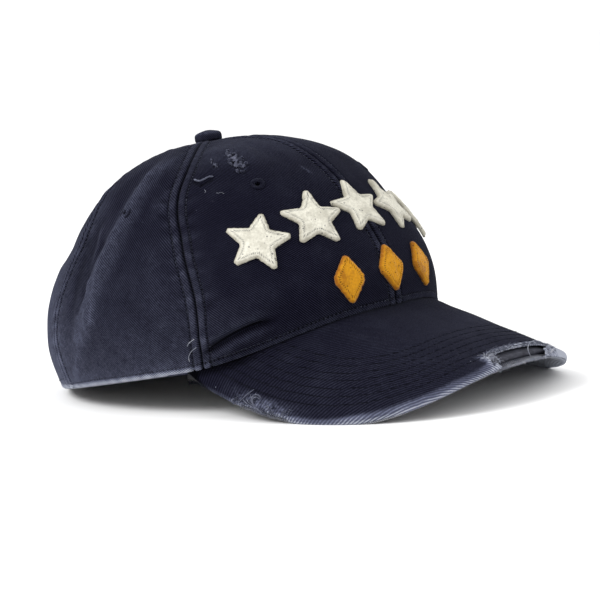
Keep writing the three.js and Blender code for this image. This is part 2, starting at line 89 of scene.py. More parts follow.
VISOR = {
    "root_height": 20.4,
    "drop": 37.8,
    "drop_at": 80.0,
    "drop_power": 2.44,
    "pitch": 23.3,
    "half_turn": 67.2,
    "reach": 73.0,
    "half_width": 85.8,
    "corner_power": 0.7,
}
HEM_FALL = 83.0  # turn past the visor over which the hem falls to the opening's plane
CUT_FALL = 6.0  # turn over which the hem's cut leaves the visor
VISOR_END = 0.985  # share of the visor's edge, from its middle, that is built
ROOT_TUCK = 1.4  # how far the visor runs in under the crown
COVER = 0.9  # each cover's thickness
BOARD = 1.6  # the stiffener's thickness
EDGE_ROUND = 2.6  # radius of the visor's edge
BOARD_GAP = 0.4  # between the stiffener and each cover
BOARD_INSET = 3.8  # from the visor's edge to the stiffener's
EDGE_DEPTH = COVER + BOARD_GAP + BOARD / 2  # half the visor's thickness at its edge

TEAR = {"x": 7.0, "half_length": 21.0}
NICK = {"x": -82.0, "y": -87.0, "half_length": 13.5, "depth": 2.3}

BAND = {"thickness": 1.0, "clear": 0.7, "height": 30.0}
BAND_DROP = {"front": 3.4, "side": 1.0, "back": -0.6}
BUTTON = {"height": 4.6, "crown": 1.2}
EYELET = {"outer": 3.5, "hole": 1.4, "height": 0.8}
EYELET_PLACES = {"front": (33, 86), "side": (84, 82), "back": (147, 78)}

FELT = 2.2  # the patches' thickness
STAR = {"count": 5, "pitch": 19.5, "outer": 15.4, "waist": 8.2, "middle": 67, "fall": 0.0052, "lean": 0.48}
DIAMOND = {"count": 3, "pitch": 16, "half_width": 8.8, "half_height": 12.5, "middle": 36.5,
           "fall": 0.006, "lean": 0.3}

REST_TILT = 6.6  # how far the cap is tipped back as it stands
FLOOR_CLEAR = 0.05  # the cloth's lowest points over the floor

# ---------------------------------------------------------------- finer shapes, only for the looks

# Small folds and creases, in the same columns as FOLDS
FINE_FOLDS = (
    (52, 13, 43, 17, 2.4, 0.9),
    (60, 20, 44, 27, 3.5, 0.8),
    (38, 109, 36, 104, 2.4, 0.45),
    (70, 105, 79, 97, 3.5, 0.7),
    (79, 97, 88, 71, 3.2, 1.1),
    (88, 71, 94, 36, 3.2, 1.1),
    (94, 36, 107, 9, 4.0, 0.9),
    (97, 77, 95, 52, 2.8, 0.8),
    (95, 52, 101, 28, 3.0, 0.9),
    (94, 70, 99, 40, 2.4, -1.1),
    (104, 72, 103, 38, 3.0, -0.9),
    (80, 42, 70, 22, 4.0, -0.5),
    (72, 60, 68, 30, 5.0, 0.4),
    (52, 108, 40, 103, 4.0, 0.8),
    (24, 104, 16, 96, 4.0, -0.5),
    (-70, 104, -84, 84, 3.5, 0.8),
    (-88, 70, -95, 30, 3.5, 1.0),
    (-95, 74, -99, 44, 2.6, -1.0),
    (-60, 15, -46, 20, 2.4, -1.0),
    (128, 60, 122, 20, 4.5, 0.8),
    (160, 70, 170, 30, 5.0, 0.7),
    (-126, 62, -132, 22, 4.5, 0.8),
    (-165, 66, -158, 26, 5.0, 0.7),
)

# The sharp crease low on the front right panel, which climbs from the side seam and levels off
CREASE = {"from": 60, "to": 40, "low": 12, "climb": 10.5, "width": 1.35, "depth": 2.3}
SEAM_STITCH = 4.6  # from the seam to each row of stitches beside it
HEM_STITCH = 3.0  # from the hem to its row of stitches
STITCH_PITCH = 2.1  # between the crown's stitches
VISOR_STITCH = 4.4  # between the visor's needle marks
BAND_STITCH = 3.2  # from the sweatband's lower edge to its row of stitches
UNSEWN = 9.0  # a distance from stitch rows at which no needle hole shows
THREAD = 0.26  # a sewing thread's radius
VISOR_ROW_GAP = 4.6  # between the visor's stitch rows
VISOR_ROWS = tuple(VISOR_ROW_GAP * row for row in range(2, 9))  # their distances from its edge

# ---------------------------------------------------------------- small helpers


def mix(a, b, share):
    """The value a share of the way from a to b."""
    return a + (b - a) * share


def smooth(value, low, high):
    """0 below low and 1 above high, with a smooth step between: 3t^2 - 2t^3."""
    share = np.clip((value - low) / (high - low), 0, 1)
    return share * share * (3 - 2 * share)


def bell(value, width):
    """1 at zero, fading as exp(-(value / width)^2)."""
    return np.exp(-((value / width) ** 2))


def signed_power(value, power):
    """|value|^power with the value's own sign."""
    return np.sign(value) * np.abs(value) ** power


def unit(vectors):
    """Vectors divided by their lengths."""
    length = np.linalg.norm(vectors, axis=-1, keepdims=True)
    return vectors / np.maximum(length, 1e-9)


def from_front(turn):
    """How far round from the front a turn is, 0 to 180."""
    return np.abs((turn + 180) % 360 - 180)


def round_head(turn):
    """A turn as a length along the cloth."""
    return np.radians(turn) * ARC_RADIUS


def over_visor(turn):
    """1 over the visor and 0 past its ends."""
    return 1 - smooth(np.abs(turn), 60, 68)


def rolled_edge(away, radius):
    """How far a wall's face draws in where its edge is rounded, by the distance from that edge."""
    roll = np.clip(1 - away / radius, 0, 1)
    return radius * (1 - np.sqrt(np.maximum(1 - roll * roll, 0)))


def rows_at(at, run, rows):
    """Rows of a table at distances between its own, straight from one row to the next."""
    return np.stack([np.interp(at, run, rows[:, k]) for k in range(rows.shape[1])], -1)


def rumple(points, size, seed):
    """Soft unevenness of about -1 to 1: twelve cosine waves along random ways, size long or so."""
    draw = np.random.default_rng(seed)
    ways = unit(draw.normal(size=(12, points.shape[-1])))
    ways = ways * (2 * math.pi / (size * draw.uniform(0.7, 1.5, (12, 1))))
    phases = draw.uniform(0, 2 * math.pi, 12)
    return np.cos(points @ ways.T + phases).mean(-1) * 2.2


def ripple(along, size, seed):
    """The same unevenness along a single length."""
    return rumple(np.asarray(along)[..., None], size, seed)


def table_curve(places, values):
    """A smooth curve through a table: cubic pieces that leave each row at its neighbours' mean slope."""
    places, values = np.array(places, float), np.array(values, float)
    secants = np.diff(values) / np.diff(places)
    slopes = np.concatenate((secants[:1], (secants[1:] + secants[:-1]) / 2, secants[-1:]))

    def value_at(at):
        row = np.clip(np.searchsorted(places, at, side="right") - 1, 0, len(places) - 2)
        span = places[row + 1] - places[row]
        share = (at - places[row]) / span
        rise = values[row + 1] - values[row]
        leave = slopes[row] * span - rise
        arrive = rise - slopes[row + 1] * span
        curve = share * (1 - share) * (mix(leave, arrive, share))
        return mix(values[row], values[row + 1], share) + curve

    return value_at


front_side_seam = table_curve(SEAM_CLIMB, FRONT_SIDE_SEAM)
side_back_seam = table_curve(SEAM_CLIMB, SIDE_BACK_SEAM)

# ---------------------------------------------------------------- the crown's surface


def form_at(turn, key):
    """A crown form value at a turn: the side's, blended to the front's or the back's by cos^2."""
    along = np.cos(np.radians(turn))
    end = np.where(along > 0, CROWN_FORM["front"][key], CROWN_FORM["back"][key])
    return mix(CROWN_FORM["side"][key], end, along**2)


def smooth_crown(turn, angle):
    """The crown without folds: height H sin^c(angle), and half lengths shrinking as cos^k(angle)."""
    around = np.radians(turn)
    length = np.where(np.cos(around) > 0, HEAD["front"], HEAD["back"])
    height = CROWN_HEIGHT * signed_power(np.sin(angle), form_at(turn, "climbing"))
    swell = 1 + SWELL["share"] * np.sin(math.pi * np.clip(height / SWELL["top"], 0, 1))
    spread = np.abs(np.cos(angle)) ** form_at(turn, "closing") * swell
    x = -HEAD["side"] * np.sin(around) * spread
    y = -length * np.cos(around) * spread + BUTTON_BACK * height / CROWN_HEIGHT
    return np.stack([x, y, height], -1)


def angle_at(turn, height):
    """The wall's angle where the crown has a given height."""
    share = np.clip(np.abs(height) / CROWN_HEIGHT, 0, 1)
    return np.sign(height) * np.arcsin(share ** (1 / form_at(turn, "climbing")))


def away_from_line(turn, height, ends):
    """The distance along the cloth from a line between two places, each a turn and a height."""
    line = np.array([math.radians(ends[2] - ends[0]) * ARC_RADIUS, ends[3] - ends[1]])
    around = (turn - ends[0] + 180) % 360 - 180
    place = np.stack([round_head(around), height - ends[1]], -1)
    share = np.clip(place @ line / (line @ line), 0, 1)
    return np.linalg.norm(place - share[..., None] * line, axis=-1)


def fold_at(turn, height, folds):
    """How far folds push the cloth out: each fades as a bell with distance from its line."""
    out = np.zeros(np.broadcast(turn, height).shape)
    for *ends, width, lift in folds:
        out = out + lift * bell(away_from_line(turn, height, ends), width)
    return out * smooth(CROWN_HEIGHT - height, BUTTON_FLAT, 4 * BUTTON_FLAT)


def outward_of(surface, turn, angle):
    """The outward direction of a surface of turn and angle, from two small steps on it."""
    here = surface(turn, angle)
    around = surface(turn + 0.05, angle) - here
    up = surface(turn, angle + 0.0005) - here
    return unit(np.cross(up, around))


def folded_crown(turn, angle):
    """The crown's outer face with its main folds, each pushed out square to the smooth crown."""
    point = smooth_crown(turn, angle)
    lift = fold_at(turn, point[..., 2], FOLDS)
    return point + outward_of(smooth_crown, turn, angle) * lift[..., None]


def crown_point(turn, angle, lift):
    """A point lifted off the crown's outer face, or sunk into the wall where lift is negative."""
    return folded_crown(turn, angle) + outward_of(folded_crown, turn, angle) * np.asarray(lift)[..., None]


def crown_seat(turn, height, lift):
    """A place on the crown and three directions there: across, up the cloth and outwards."""
    turn, height = np.asarray(turn, float), np.asarray(height, float)
    angle = angle_at(turn, height)
    out = outward_of(folded_crown, turn, angle)
    up = unit(folded_crown(turn, angle + 0.001) - folded_crown(turn, angle))
    place = folded_crown(turn, angle) + out * np.asarray(lift, float)[..., None]
    return place, np.cross(up, out), up, out


# ---------------------------------------------------------------- the visor's surface


def visor_height(x, y):
    """The visor's top: it drops as |x|^p to both sides and rises towards the crown at its pitch."""
    drop = VISOR["drop"] * (np.abs(x) / VISOR["drop_at"]) ** VISOR["drop_power"]
    return VISOR["root_height"] - drop + math.tan(math.radians(VISOR["pitch"])) * (y + HEAD["front"])


def hem_height(turn):
    """The hem lies on the visor, and past the visor's ends it falls smoothly to the opening's plane."""
    away = from_front(turn)
    over = np.minimum(away, VISOR["half_turn"])
    height = np.zeros_like(over)
    for _ in range(6):
        point = smooth_crown(over, angle_at(over, height))
        height = visor_height(point[..., 0], point[..., 1])
    return height * (1 - smooth(away, VISOR["half_turn"], VISOR["half_turn"] + HEM_FALL))


def wall_start(turn, lift):
    """The wall's angle at which one of its faces meets the visor, or the hem's level past the visor."""
    away = from_front(turn)
    past = smooth(away, VISOR["half_turn"], VISOR["half_turn"] + CUT_FALL)
    level = hem_height(turn)
    height = level
    for _ in range(6):
        point = crown_point(turn, angle_at(turn, height), np.full(turn.shape, lift))
        target = mix(visor_height(point[..., 0], point[..., 1]), level, past)
        height = height + target - point[..., 2]
    return angle_at(turn, height)


def visor_root(turn):
    """Where the visor meets the crown, seen from above."""
    return smooth_crown(turn, angle_at(turn, hem_height(turn)))[..., :2]


def visor_edge(share):
    """The visor's outer edge from above: a rounded rectangle's quarter on each side, x as sin^p and
    y as cos^p of share times a right angle, drawn in to the crown at the ends."""
    end = visor_root(np.array(VISOR["half_turn"]))
    angle = share * math.pi / 2
    x = -VISOR["half_width"] * signed_power(np.sin(angle), VISOR["corner_power"])
    front = -(HEAD["front"] + VISOR["reach"])
    y = mix(end[1], front, np.abs(np.cos(angle)) ** VISOR["corner_power"])
    return np.stack([mix(x, np.sign(share) * end[0], np.abs(share) ** 10), y], -1)


def visor_square(x, y):
    """The visor's outward direction at a place, from the slopes of its height."""
    step = 0.01
    along_x = (visor_height(x + step, y) - visor_height(x - step, y)) / (2 * step)
    along_y = (visor_height(x, y + step) - visor_height(x, y - step)) / (2 * step)
    return unit(np.stack([-along_x, -along_y, np.ones_like(along_x)], -1))


def visor_point(x, y, depth, upright=0.0):
    """A point under the visor's top side: depth is square to it where upright is 0, plumb where 1."""
    square = visor_square(x, y)
    plumb = np.zeros_like(square)
    plumb[..., 2] = 1 / square[..., 2]
    way = mix(square, plumb, np.broadcast_to(upright, x.shape)[..., None])
    return np.stack([x, y, visor_height(x, y)], -1) - way * np.broadcast_to(depth, x.shape)[..., None]


# ---------------------------------------------------------------- standing on the floor

_tilt = math.radians(REST_TILT)
_button_low, _button_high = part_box("crown_button")
_button_middle = CROWN_HEIGHT + GAP + BUTTON["height"] / 2
_button_top = CROWN_HEIGHT + GAP + BUTTON["height"] + BUTTON["crown"]
SHIFT_Y = (_button_low.y + _button_high.y) / 2 / MM - (
    BUTTON_BACK * math.cos(_tilt) + _button_middle * math.sin(_tilt)
)
SHIFT_Z = _button_high.z / MM - (_button_top * math.cos(_tilt) - BUTTON_BACK * math.sin(_tilt))


def to_row(points):
    """Cap frame to row frame: tipped back by the rest tilt, shifted, kept over the floor, in metres."""
    x, y, z = np.moveaxis(np.asarray(points, float), -1, 0)
    back = y * math.cos(_tilt) + z * math.sin(_tilt) + SHIFT_Y
    up = -y * math.sin(_tilt) + z * math.cos(_tilt) + SHIFT_Z
    return np.stack([x, back, np.maximum(up, FLOOR_CLEAR)], -1) * MM


# ---------------------------------------------------------------- meshes from arrays


def make_piece(name, points, quads, values, material, slot):
    """A piece from points of the cap frame, four-cornered faces and point values, faces outwards."""
    place = to_row(points)
    corner = place[quads]
    solid = np.einsum("ij,ij->i", corner[:, 0], np.cross(corner[:, 1], corner[:, 2])).sum()
    solid += np.einsum("ij,ij->i", corner[:, 0], np.cross(corner[:, 2], corner[:, 3])).sum()
    if solid < 0:
        quads = quads[:, ::-1]
    mesh = bpy.data.meshes.new(name)
    mesh.vertices.add(len(place))
    mesh.vertices.foreach_set("co", place.astype(np.float32).ravel())
    mesh.loops.add(quads.size)
    mesh.loops.foreach_set("vertex_index", quads.astype(np.int32).ravel())
    mesh.polygons.add(len(quads))
    mesh.polygons.foreach_set("loop_start", np.arange(0, quads.size, 4, dtype=np.int32))
    mesh.polygons.foreach_set("use_smooth", np.ones(len(quads), bool))
    mesh.update(calc_edges=True)
    for key, value in values.items():
        vector = value.ndim == 2
        layer = mesh.attributes.new(key, "FLOAT_VECTOR" if vector else "FLOAT", "POINT")
        layer.data.foreach_set("vector" if vector else "value", value.astype(np.float32).ravel())
    mesh.materials.append(material)
    piece = bpy.data.objects.new(name, mesh)
    bpy.context.scene.collection.objects.link(piece)
    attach(piece, "root")
    return piece


def shell_parts(outer, inner, keep, looped):
    """A closed wall between two grids: both faces of each kept cell, and a strip round each border."""
    rows, cols = outer.shape[:2]
    count = rows * cols
    number = np.arange(count).reshape(rows, cols)
    if looped:
        number = np.concatenate([number, number[:, :1]], 1)
    corners = np.stack([number[:-1, :-1], number[:-1, 1:], number[1:, 1:], number[1:, :-1]], -1)
    keep = np.ones(corners.shape[:2], bool) if keep is None else keep
    faces = [corners[keep], corners[keep][:, ::-1] + count]
    padded = np.pad(keep, 1)
    if looped:
        padded[1:-1, 0] = keep[:, -1]
        padded[1:-1, -1] = keep[:, 0]
    beside = (padded[:-2, 1:-1], padded[1:-1, 2:], padded[2:, 1:-1], padded[1:-1, :-2])
    for side, neighbour in enumerate(beside):
        border = corners[keep & ~neighbour]
        first, second = border[:, side], border[:, (side + 1) % 4]
        faces.append(np.stack([second, first, first + count, second + count], -1))
    quads = np.concatenate(faces)
    used, quads = np.unique(quads, return_inverse=True)
    quads = quads.reshape(-1, 4)
    points = np.concatenate([outer.reshape(-1, 3), inner.reshape(-1, 3)])[used]
    return points, quads, used % count


def shell_piece(name, outer, inner, values, material, slot, keep=None, looped=False):
    """A wall's piece; values are grids of point values, given to both of its faces."""
    points, quads, source = shell_parts(outer, inner, keep, looped)
    flat = {key: value.reshape(-1, *value.shape[2:])[source] for key, value in values.items()}
    return make_piece(name, points, quads, flat, material, slot)


def ring_quads(count, steps, sides, closed=False):
    """Faces of count rows of rings: walls between neighbouring rings, and flat quads over both ends,
    or, where closed, the last ring joined to the first. sides is even."""
    number = np.arange(count * steps * sides).reshape(count, steps, sides)
    if closed:
        number = np.concatenate([number, number[:, :1]], 1)
    after = np.roll(number, -1, axis=2)
    parts = [np.stack([number[:, :-1], after[:, :-1], after[:, 1:], number[:, 1:]], -1).reshape(-1, 4)]
    if not closed:
        for k in range(1, sides - 1, 2):
            parts.append(number[:, 0][:, [0, k + 2, k + 1, k]])
            parts.append(number[:, -1][:, [0, k, k + 1, k + 2]])
    return np.concatenate(parts)


def tubes(paths, radii, sides=6):
    """Closed round threads: rings of points square to each path, of the given radii along it."""
    count, steps = paths.shape[:2]
    along = unit(np.gradient(paths, axis=1))
    chord = unit(paths[:, -1:] - paths[:, :1])
    turned = np.stack([chord[..., 1], chord[..., 2], chord[..., 0]], -1) * (1, -1, 1)
    across = unit(np.cross(along, np.broadcast_to(turned + (0.31, 0.17, 0.53), along.shape)))
    upward = np.cross(across, along)
    angle = np.arange(sides) / sides * 2 * math.pi
    ring = across[:, :, None] * np.cos(angle)[:, None] + upward[:, :, None] * np.sin(angle)[:, None]
    points = paths[:, :, None] + ring * np.broadcast_to(radii, (count, steps))[:, :, None, None]
    return points.reshape(-1, 3), ring_quads(count, steps, sides)


def joined(parts):
    """Several meshes, each points and quads, as one."""
    points = np.concatenate([part[0] for part in parts])
    starts = np.cumsum([0] + [len(part[0]) for part in parts[:-1]])
    quads = np.concatenate([part[1] + start for part, start in zip(parts, starts)])
    return points, quads


def grid_outward(points, reference):
    """Unit directions square to a grid, from its two central differences, on the reference's side."""
    square = unit(np.cross(np.gradient(points, axis=1), np.gradient(points, axis=0)))
    side = np.sign((square * reference).sum(-1, keepdims=True))
    return square * side


def lengths(points, axis):
    """Distance along a grid's lines from their first point."""
    steps = np.linalg.norm(np.diff(points, axis=axis), axis=-1)
    pad = [(0, 0)] * steps.ndim
    pad[axis] = (1, 0)
    return np.cumsum(np.pad(steps, pad), axis=axis)


# ---------------------------------------------------------------- finishes


SHEEN_ROUGHNESS = 0.3


class Finish:
    """A procedural cloth finish: small steps that add nodes to one material and link them."""

    def __init__(self, name, roughness, sheen, sheen_tint, specular=0.01):
        self.material = bpy.data.materials.new(name)
        self.material.use_nodes = True
        self.tree = self.material.node_tree
        self.shader = self.tree.nodes["Principled BSDF"]
        self.shader.inputs["Roughness"].default_value = roughness
        self.shader.inputs["Sheen Weight"].default_value = sheen
        self.shader.inputs["Sheen Roughness"].default_value = SHEEN_ROUGHNESS
        self.shader.inputs["Sheen Tint"].default_value = (*sheen_tint, 1)
        self.shader.inputs["Specular IOR Level"].default_value = specular

    def put(self, socket, value):
        """Links another node's output to a socket, or sets the socket's own value."""
        if isinstance(value, bpy.types.NodeSocket):
            self.tree.links.new(value, socket)
        elif isinstance(value, tuple) and len(value) == 3 and socket.type == "RGBA":
            socket.default_value = (*value, 1)
        else:
            socket.default_value = value

    def node(self, kind, **settings):
        made = self.tree.nodes.new(kind)
        for key, value in settings.items():
            setattr(made, key, value)
        return made

    def math(self, operation, a, b=0.0, c=0.0):
        made = self.node("ShaderNodeMath", operation=operation)
        for socket, value in zip(made.inputs, (a, b, c)):
            self.put(socket, value)
        return made.outputs[0]

    def times(self, a, b):
        return self.math("MULTIPLY", a, b)

    def plus(self, a, b):
        return self.math("ADD", a, b)

    def attribute(self, name, vector=False):
        made = self.node("ShaderNodeAttribute", attribute_name=name)
        return made.outputs["Vector" if vector else "Fac"]

    def parts(self, vector):
        made = self.node("ShaderNodeSeparateXYZ")
        self.put(made.inputs[0], vector)
        return made.outputs

    def place(self):
        """Object coordinates, in millimetres."""
        made = self.node("ShaderNodeVectorMath", operation="SCALE")
        self.put(made.inputs[0], self.node("ShaderNodeTexCoord").outputs["Object"])
        made.inputs["Scale"].default_value = 1 / MM
        return made.outputs[0]

    def noise(self, vector, size, detail=2.0, roughness=0.5):
        made = self.node("ShaderNodeTexNoise")
        self.put(made.inputs["Vector"], vector)
        made.inputs["Scale"].default_value = 1 / size
        made.inputs["Detail"].default_value = detail
        made.inputs["Roughness"].default_value = roughness
        return made.outputs["Fac"]

    def cells(self, vector, size, feature="F1"):
        made = self.node("ShaderNodeTexVoronoi", feature=feature)
        self.put(made.inputs["Vector"], vector)
        made.inputs["Scale"].default_value = 1 / size
        return made.outputs["Distance"]

    def between(self, value, low, high, start=0.0, end=1.0):
        """start at low and end at high, with a smooth step between."""
        made = self.node("ShaderNodeMapRange", interpolation_type="SMOOTHSTEP")
        for socket, number in zip(made.inputs, (value, low, high, start, end)):
            self.put(socket, number)
        return made.outputs[0]

    def blend(self, share, a, b):
        """The colour a share of the way from a to b; 6, 7 and 2 are the node's colour sockets."""
        made = self.node("ShaderNodeMix", data_type="RGBA")
        self.put(made.inputs[0], share)
        self.put(made.inputs[6], a)
        self.put(made.inputs[7], b)
        return made.outputs[2]

    def stripes(self, across, pitch, wander=0.0):
        """0 to 1 and back once a pitch along a length; wander shifts the lines."""
        turned = self.math("MULTIPLY_ADD", across, 2 * math.pi / pitch, wander)
        return self.math("MULTIPLY_ADD", self.math("SINE", turned), 0.5, 0.5)

    def finish(self, colour, height, depth):
        """Links the colour, and a bump of a height of 0 to 1 that is depth millimetres deep."""
        bump = self.node("ShaderNodeBump")
        bump.inputs["Strength"].default_value = 1.0
        bump.inputs["Distance"].default_value = depth * MM
        self.put(bump.inputs["Height"], height)
        self.put(self.shader.inputs["Base Color"], colour)
        self.put(self.shader.inputs["Normal"], bump.outputs[0])
        return self.material


TWILL_PITCH = 0.92  # between the slanting ribs of the twill
NAVY_RIB = (0.0136, 0.0133, 0.0285)
NAVY_GAP = (0.0003, 0.0003, 0.0010)
PALE_NAVY = (0.110, 0.119, 0.178)
BARE_YARN = (0.36, 0.38, 0.44)
LINT = (0.30, 0.32, 0.40)
SHEEN_TINT = (0.72, 0.78, 1.0)


def twill_finish(name, rib=NAVY_RIB, gap=NAVY_GAP, pale_colour=PALE_NAVY, sheen=0.05, crisp=0.22,
                 pitch=STITCH_PITCH):
    """Washed twill. The weave attribute gives places along the cloth in millimetres, fade_and_painted_light
    how far the cloth is paled, by faded dye and in places by painted light, painted_shade how much painted
    shade darkens a spot in seams, creases and grooves and under lumps, and sewn the distance from the
    nearest stitch row, the distance along it and its strength. Slanting ribs at 45 degrees, broken up by
    yarn, with cloudy fading, clean bright ribs where well worn, needle holes a pitch apart painted as dark
    dots of shade, and a few specks of lint."""
    cloth = Finish(name, 0.92, sheen, SHEEN_TINT)
    place = cloth.place()
    weave = cloth.attribute("weave", vector=True)
    along = cloth.parts(weave)
    slant = cloth.times(cloth.plus(along[0], along[1]), math.sqrt(0.5))
    uneven = cloth.times(cloth.math("SUBTRACT", cloth.noise(weave, 5.0, 2.0), 0.5), 4.0)
    ribs = cloth.stripes(slant, TWILL_PITCH, uneven)
    ribs = cloth.between(ribs, 0.60 - crisp * 2, 0.60 + crisp * 2)
    yarn = cloth.noise(weave, 0.55, 1.0)
    grain = cloth.times(ribs, cloth.math("MULTIPLY_ADD", yarn, 2.2, -0.1))
    cloud = cloth.noise(place, 17, 3.0, 0.55)
    fine_cloud = cloth.noise(place, 3.2, 3.0, 0.6)
    # paling by faded dye, and by painted light on the crown's top and under the visor's far corner
    fade_and_painted_light = cloth.attribute("fade_and_painted_light")
    heather = cloth.noise(place, 1.1, 2.0, 0.6)
    paling = cloth.times(fade_and_painted_light, cloth.math("MULTIPLY_ADD", fine_cloud, 1.7, 0.15))
    paling = cloth.times(paling, cloth.times(heather, 2.0))
    paling = cloth.math("MAXIMUM", paling, 0.0)
    paling = cloth.plus(paling, cloth.between(cloud, 0.45, 0.80, 0.0, 0.04))
    paling = cloth.times(paling, cloth.math("MULTIPLY_ADD", grain, 0.75, 0.55))
    clean = cloth.times(fade_and_painted_light, cloth.math("MULTIPLY_ADD", ribs, 1.1, 0.75))
    worn = cloth.between(fade_and_painted_light, 0.28, 0.55, 0.0, 0.75)
    paling = cloth.plus(cloth.times(paling, cloth.math("SUBTRACT", 1.0, worn)), cloth.times(clean, worn))
    colour = cloth.blend(grain, gap, rib)
    colour = cloth.blend(cloth.math("MINIMUM", paling, 1.0), colour, pale_colour)
    colour = cloth.blend(cloth.between(paling, 0.75, 1.7), colour, BARE_YARN)
    lint = cloth.between(cloth.cells(place, 4.6), 0.052, 0.030)
    lint = cloth.times(lint, cloth.between(cloth.noise(place, 9.0), 0.60, 0.66))
    colour = cloth.blend(cloth.times(lint, 0.8), colour, LINT)
    sewn = cloth.parts(cloth.attribute("sewn", vector=True))
    # needle holes: dots of painted shade along each stitch row, also dented in the bump
    hole = cloth.between(cloth.stripes(sewn[1], pitch), 0.62, 0.90)
    hole = cloth.times(hole, cloth.between(cloth.math("ABSOLUTE", sewn[0]), 0.75, 0.30))
    hole = cloth.math("MINIMUM", cloth.times(hole, sewn[2]), 1.0)
    # painted shade, which darkens the colour below by up to 88 percent
    painted_shade = cloth.math("MAXIMUM", cloth.attribute("painted_shade"), hole)
    shade = cloth.math("MULTIPLY_ADD", painted_shade, -0.88, 1.0)
    dark = cloth.node("ShaderNodeVectorMath", operation="SCALE")
    cloth.put(dark.inputs[0], colour)
    cloth.put(dark.inputs["Scale"], shade)
    height = cloth.plus(cloth.times(grain, 0.75), cloth.times(fine_cloud, 0.5))
    height = cloth.math("SUBTRACT", height, cloth.times(hole, 0.8))
    return cloth.finish(dark.outputs[0], height, 0.26)


def thread_finish(name, dark, light, sheen=0.3):
    """Twisted sewing thread: a fine slanting stripe, with paler worn lengths."""
    thread = Finish(name, 0.8, sheen, SHEEN_TINT)
    place = thread.place()
    axes = thread.parts(place)
    twist = thread.stripes(thread.plus(axes[0], thread.plus(axes[1], axes[2])), 0.45)
    worn = thread.between(thread.noise(place, 2.4, 2.0), 0.45, 0.7)
    share = thread.times(worn, thread.math("MULTIPLY_ADD", twist, 0.6, 0.4))
    return thread.finish(thread.blend(share, dark, light), twist, 0.08)


def felt_finish(name, light, soiled_and_shaded, speck_and_shade_colour, dirty):
    """Pressed felt: matted fibres with cloudy soiling, a darker rim of grime and painted edge shade, dark
    specks of dirt and small needle pits of painted shade.
    """
    felt = Finish(name, 0.97, 0.25, (1.0, 0.97, 0.9), specular=0.15)
    place = felt.place()
    mat = felt.noise(place, 1.1, 5.0, 0.7)
    fibres = felt.cells(place, 0.8, "SMOOTH_F1")
    cloud = felt.noise(place, 6.5, 3.0, 0.6)
    dirt = felt.times(felt.between(cloud, 0.42, 0.72), dirty)
    # the rim's darkening: grime together with painted shade on the patch's edge and side walls
    rim = felt.attribute("fade_and_painted_light")
    speck = felt.between(felt.cells(place, 2.2), 0.24, 0.13)
    speck = felt.times(speck, felt.between(felt.noise(place, 4.0, 2.0), 0.47, 0.55))
    colour = felt.blend(felt.math("MINIMUM", felt.plus(dirt, felt.times(rim, 0.85)), 1.0), light, soiled_and_shaded)
    colour = felt.blend(felt.times(felt.between(mat, 0.62, 0.35), 0.35), colour, soiled_and_shaded)
    # dark specks of dirt, and painted shade in the needle pits
    specks_and_pit_shade = felt.math("MAXIMUM", felt.times(speck, 0.8), felt.attribute("painted_shade"))
    colour = felt.blend(specks_and_pit_shade, colour, speck_and_shade_colour)
    height = felt.plus(mat, felt.times(fibres, 0.5))
    return felt.finish(colour, height, 0.5)


def board_finish():
    """The visor's stiffener: dull grey with cloudy dust, and near-black painted shade where painted_shade
    is 1.
    """
    board = Finish("dull board", 0.75, 0.0, (1, 1, 1), specular=0.3)
    place = board.place()
    dust = board.noise(place, 2.2, 4.0, 0.65)
    colour = board.blend(board.between(dust, 0.35, 0.7), (0.022, 0.023, 0.033), (0.058, 0.060, 0.080))
    # painted shade
    colour = board.blend(board.attribute("painted_shade"), colour, (0.0015, 0.0015, 0.003))
    return board.finish(colour, dust, 0.12)


def floor_finish():
    """A plain pale floor with the faintest cloudiness."""
    floor = Finish("pale floor", 0.9, 0.0, (1, 1, 1), specular=0.1)
    cloud = floor.noise(floor.place(), 400, 2.0)
    colour = floor.blend(cloud, (0.90, 0.90, 0.90), (0.93, 0.93, 0.93))
    return floor.finish(colour, cloud, 0.01)


WASHED_TWILL = twill_finish("washed navy twill")
VISOR_TWILL = twill_finish(
    "washed visor twill", (0.0108, 0.0105, 0.0215), (0.0020, 0.0020, 0.0046), crisp=0.4, pitch=VISOR_STITCH
)
VISOR_LINING = twill_finish(
    "washed visor lining", (0.050, 0.052, 0.074), (0.020, 0.021, 0.034), (0.42, 0.43, 0.47)
)
BAND_TWILL = twill_finish("sweatband twill", (0.017, 0.018, 0.032), (0.008, 0.008, 0.015), sheen=0.15)
NAVY_THREAD = thread_finish("navy thread", (0.0070, 0.0072, 0.014), (0.040, 0.043, 0.062))
EYELET_THREAD = thread_finish("eyelet thread", (0.0055, 0.0055, 0.012), (0.016, 0.016, 0.027), 0.15)
PALE_THREAD = thread_finish("frayed pale thread", (0.17, 0.18, 0.22), (0.42, 0.43, 0.47))
WORN_CLOTH = thread_finish("worn cloth", (0.022, 0.023, 0.038), (0.150, 0.157, 0.215))
VISOR_THREAD = thread_finish("visor thread", (0.004, 0.004, 0.008), (0.016, 0.016, 0.026), sheen=0.05)
GREY_THREAD = thread_finish("frayed grey thread", (0.075, 0.08, 0.11), (0.19, 0.20, 0.25))
WHITE_FELT = felt_finish(
    "off-white felt", (0.70, 0.68, 0.59), (0.34, 0.32, 0.26), (0.045, 0.047, 0.062), 0.5
)
GOLD_FELT = felt_finish(
    "golden felt", (0.60, 0.275, 0.012), (0.28, 0.10, 0.008), (0.05, 0.020, 0.006), 0.75
)
BOARD_GREY = board_finish()

# ---------------------------------------------------------------- crown panels

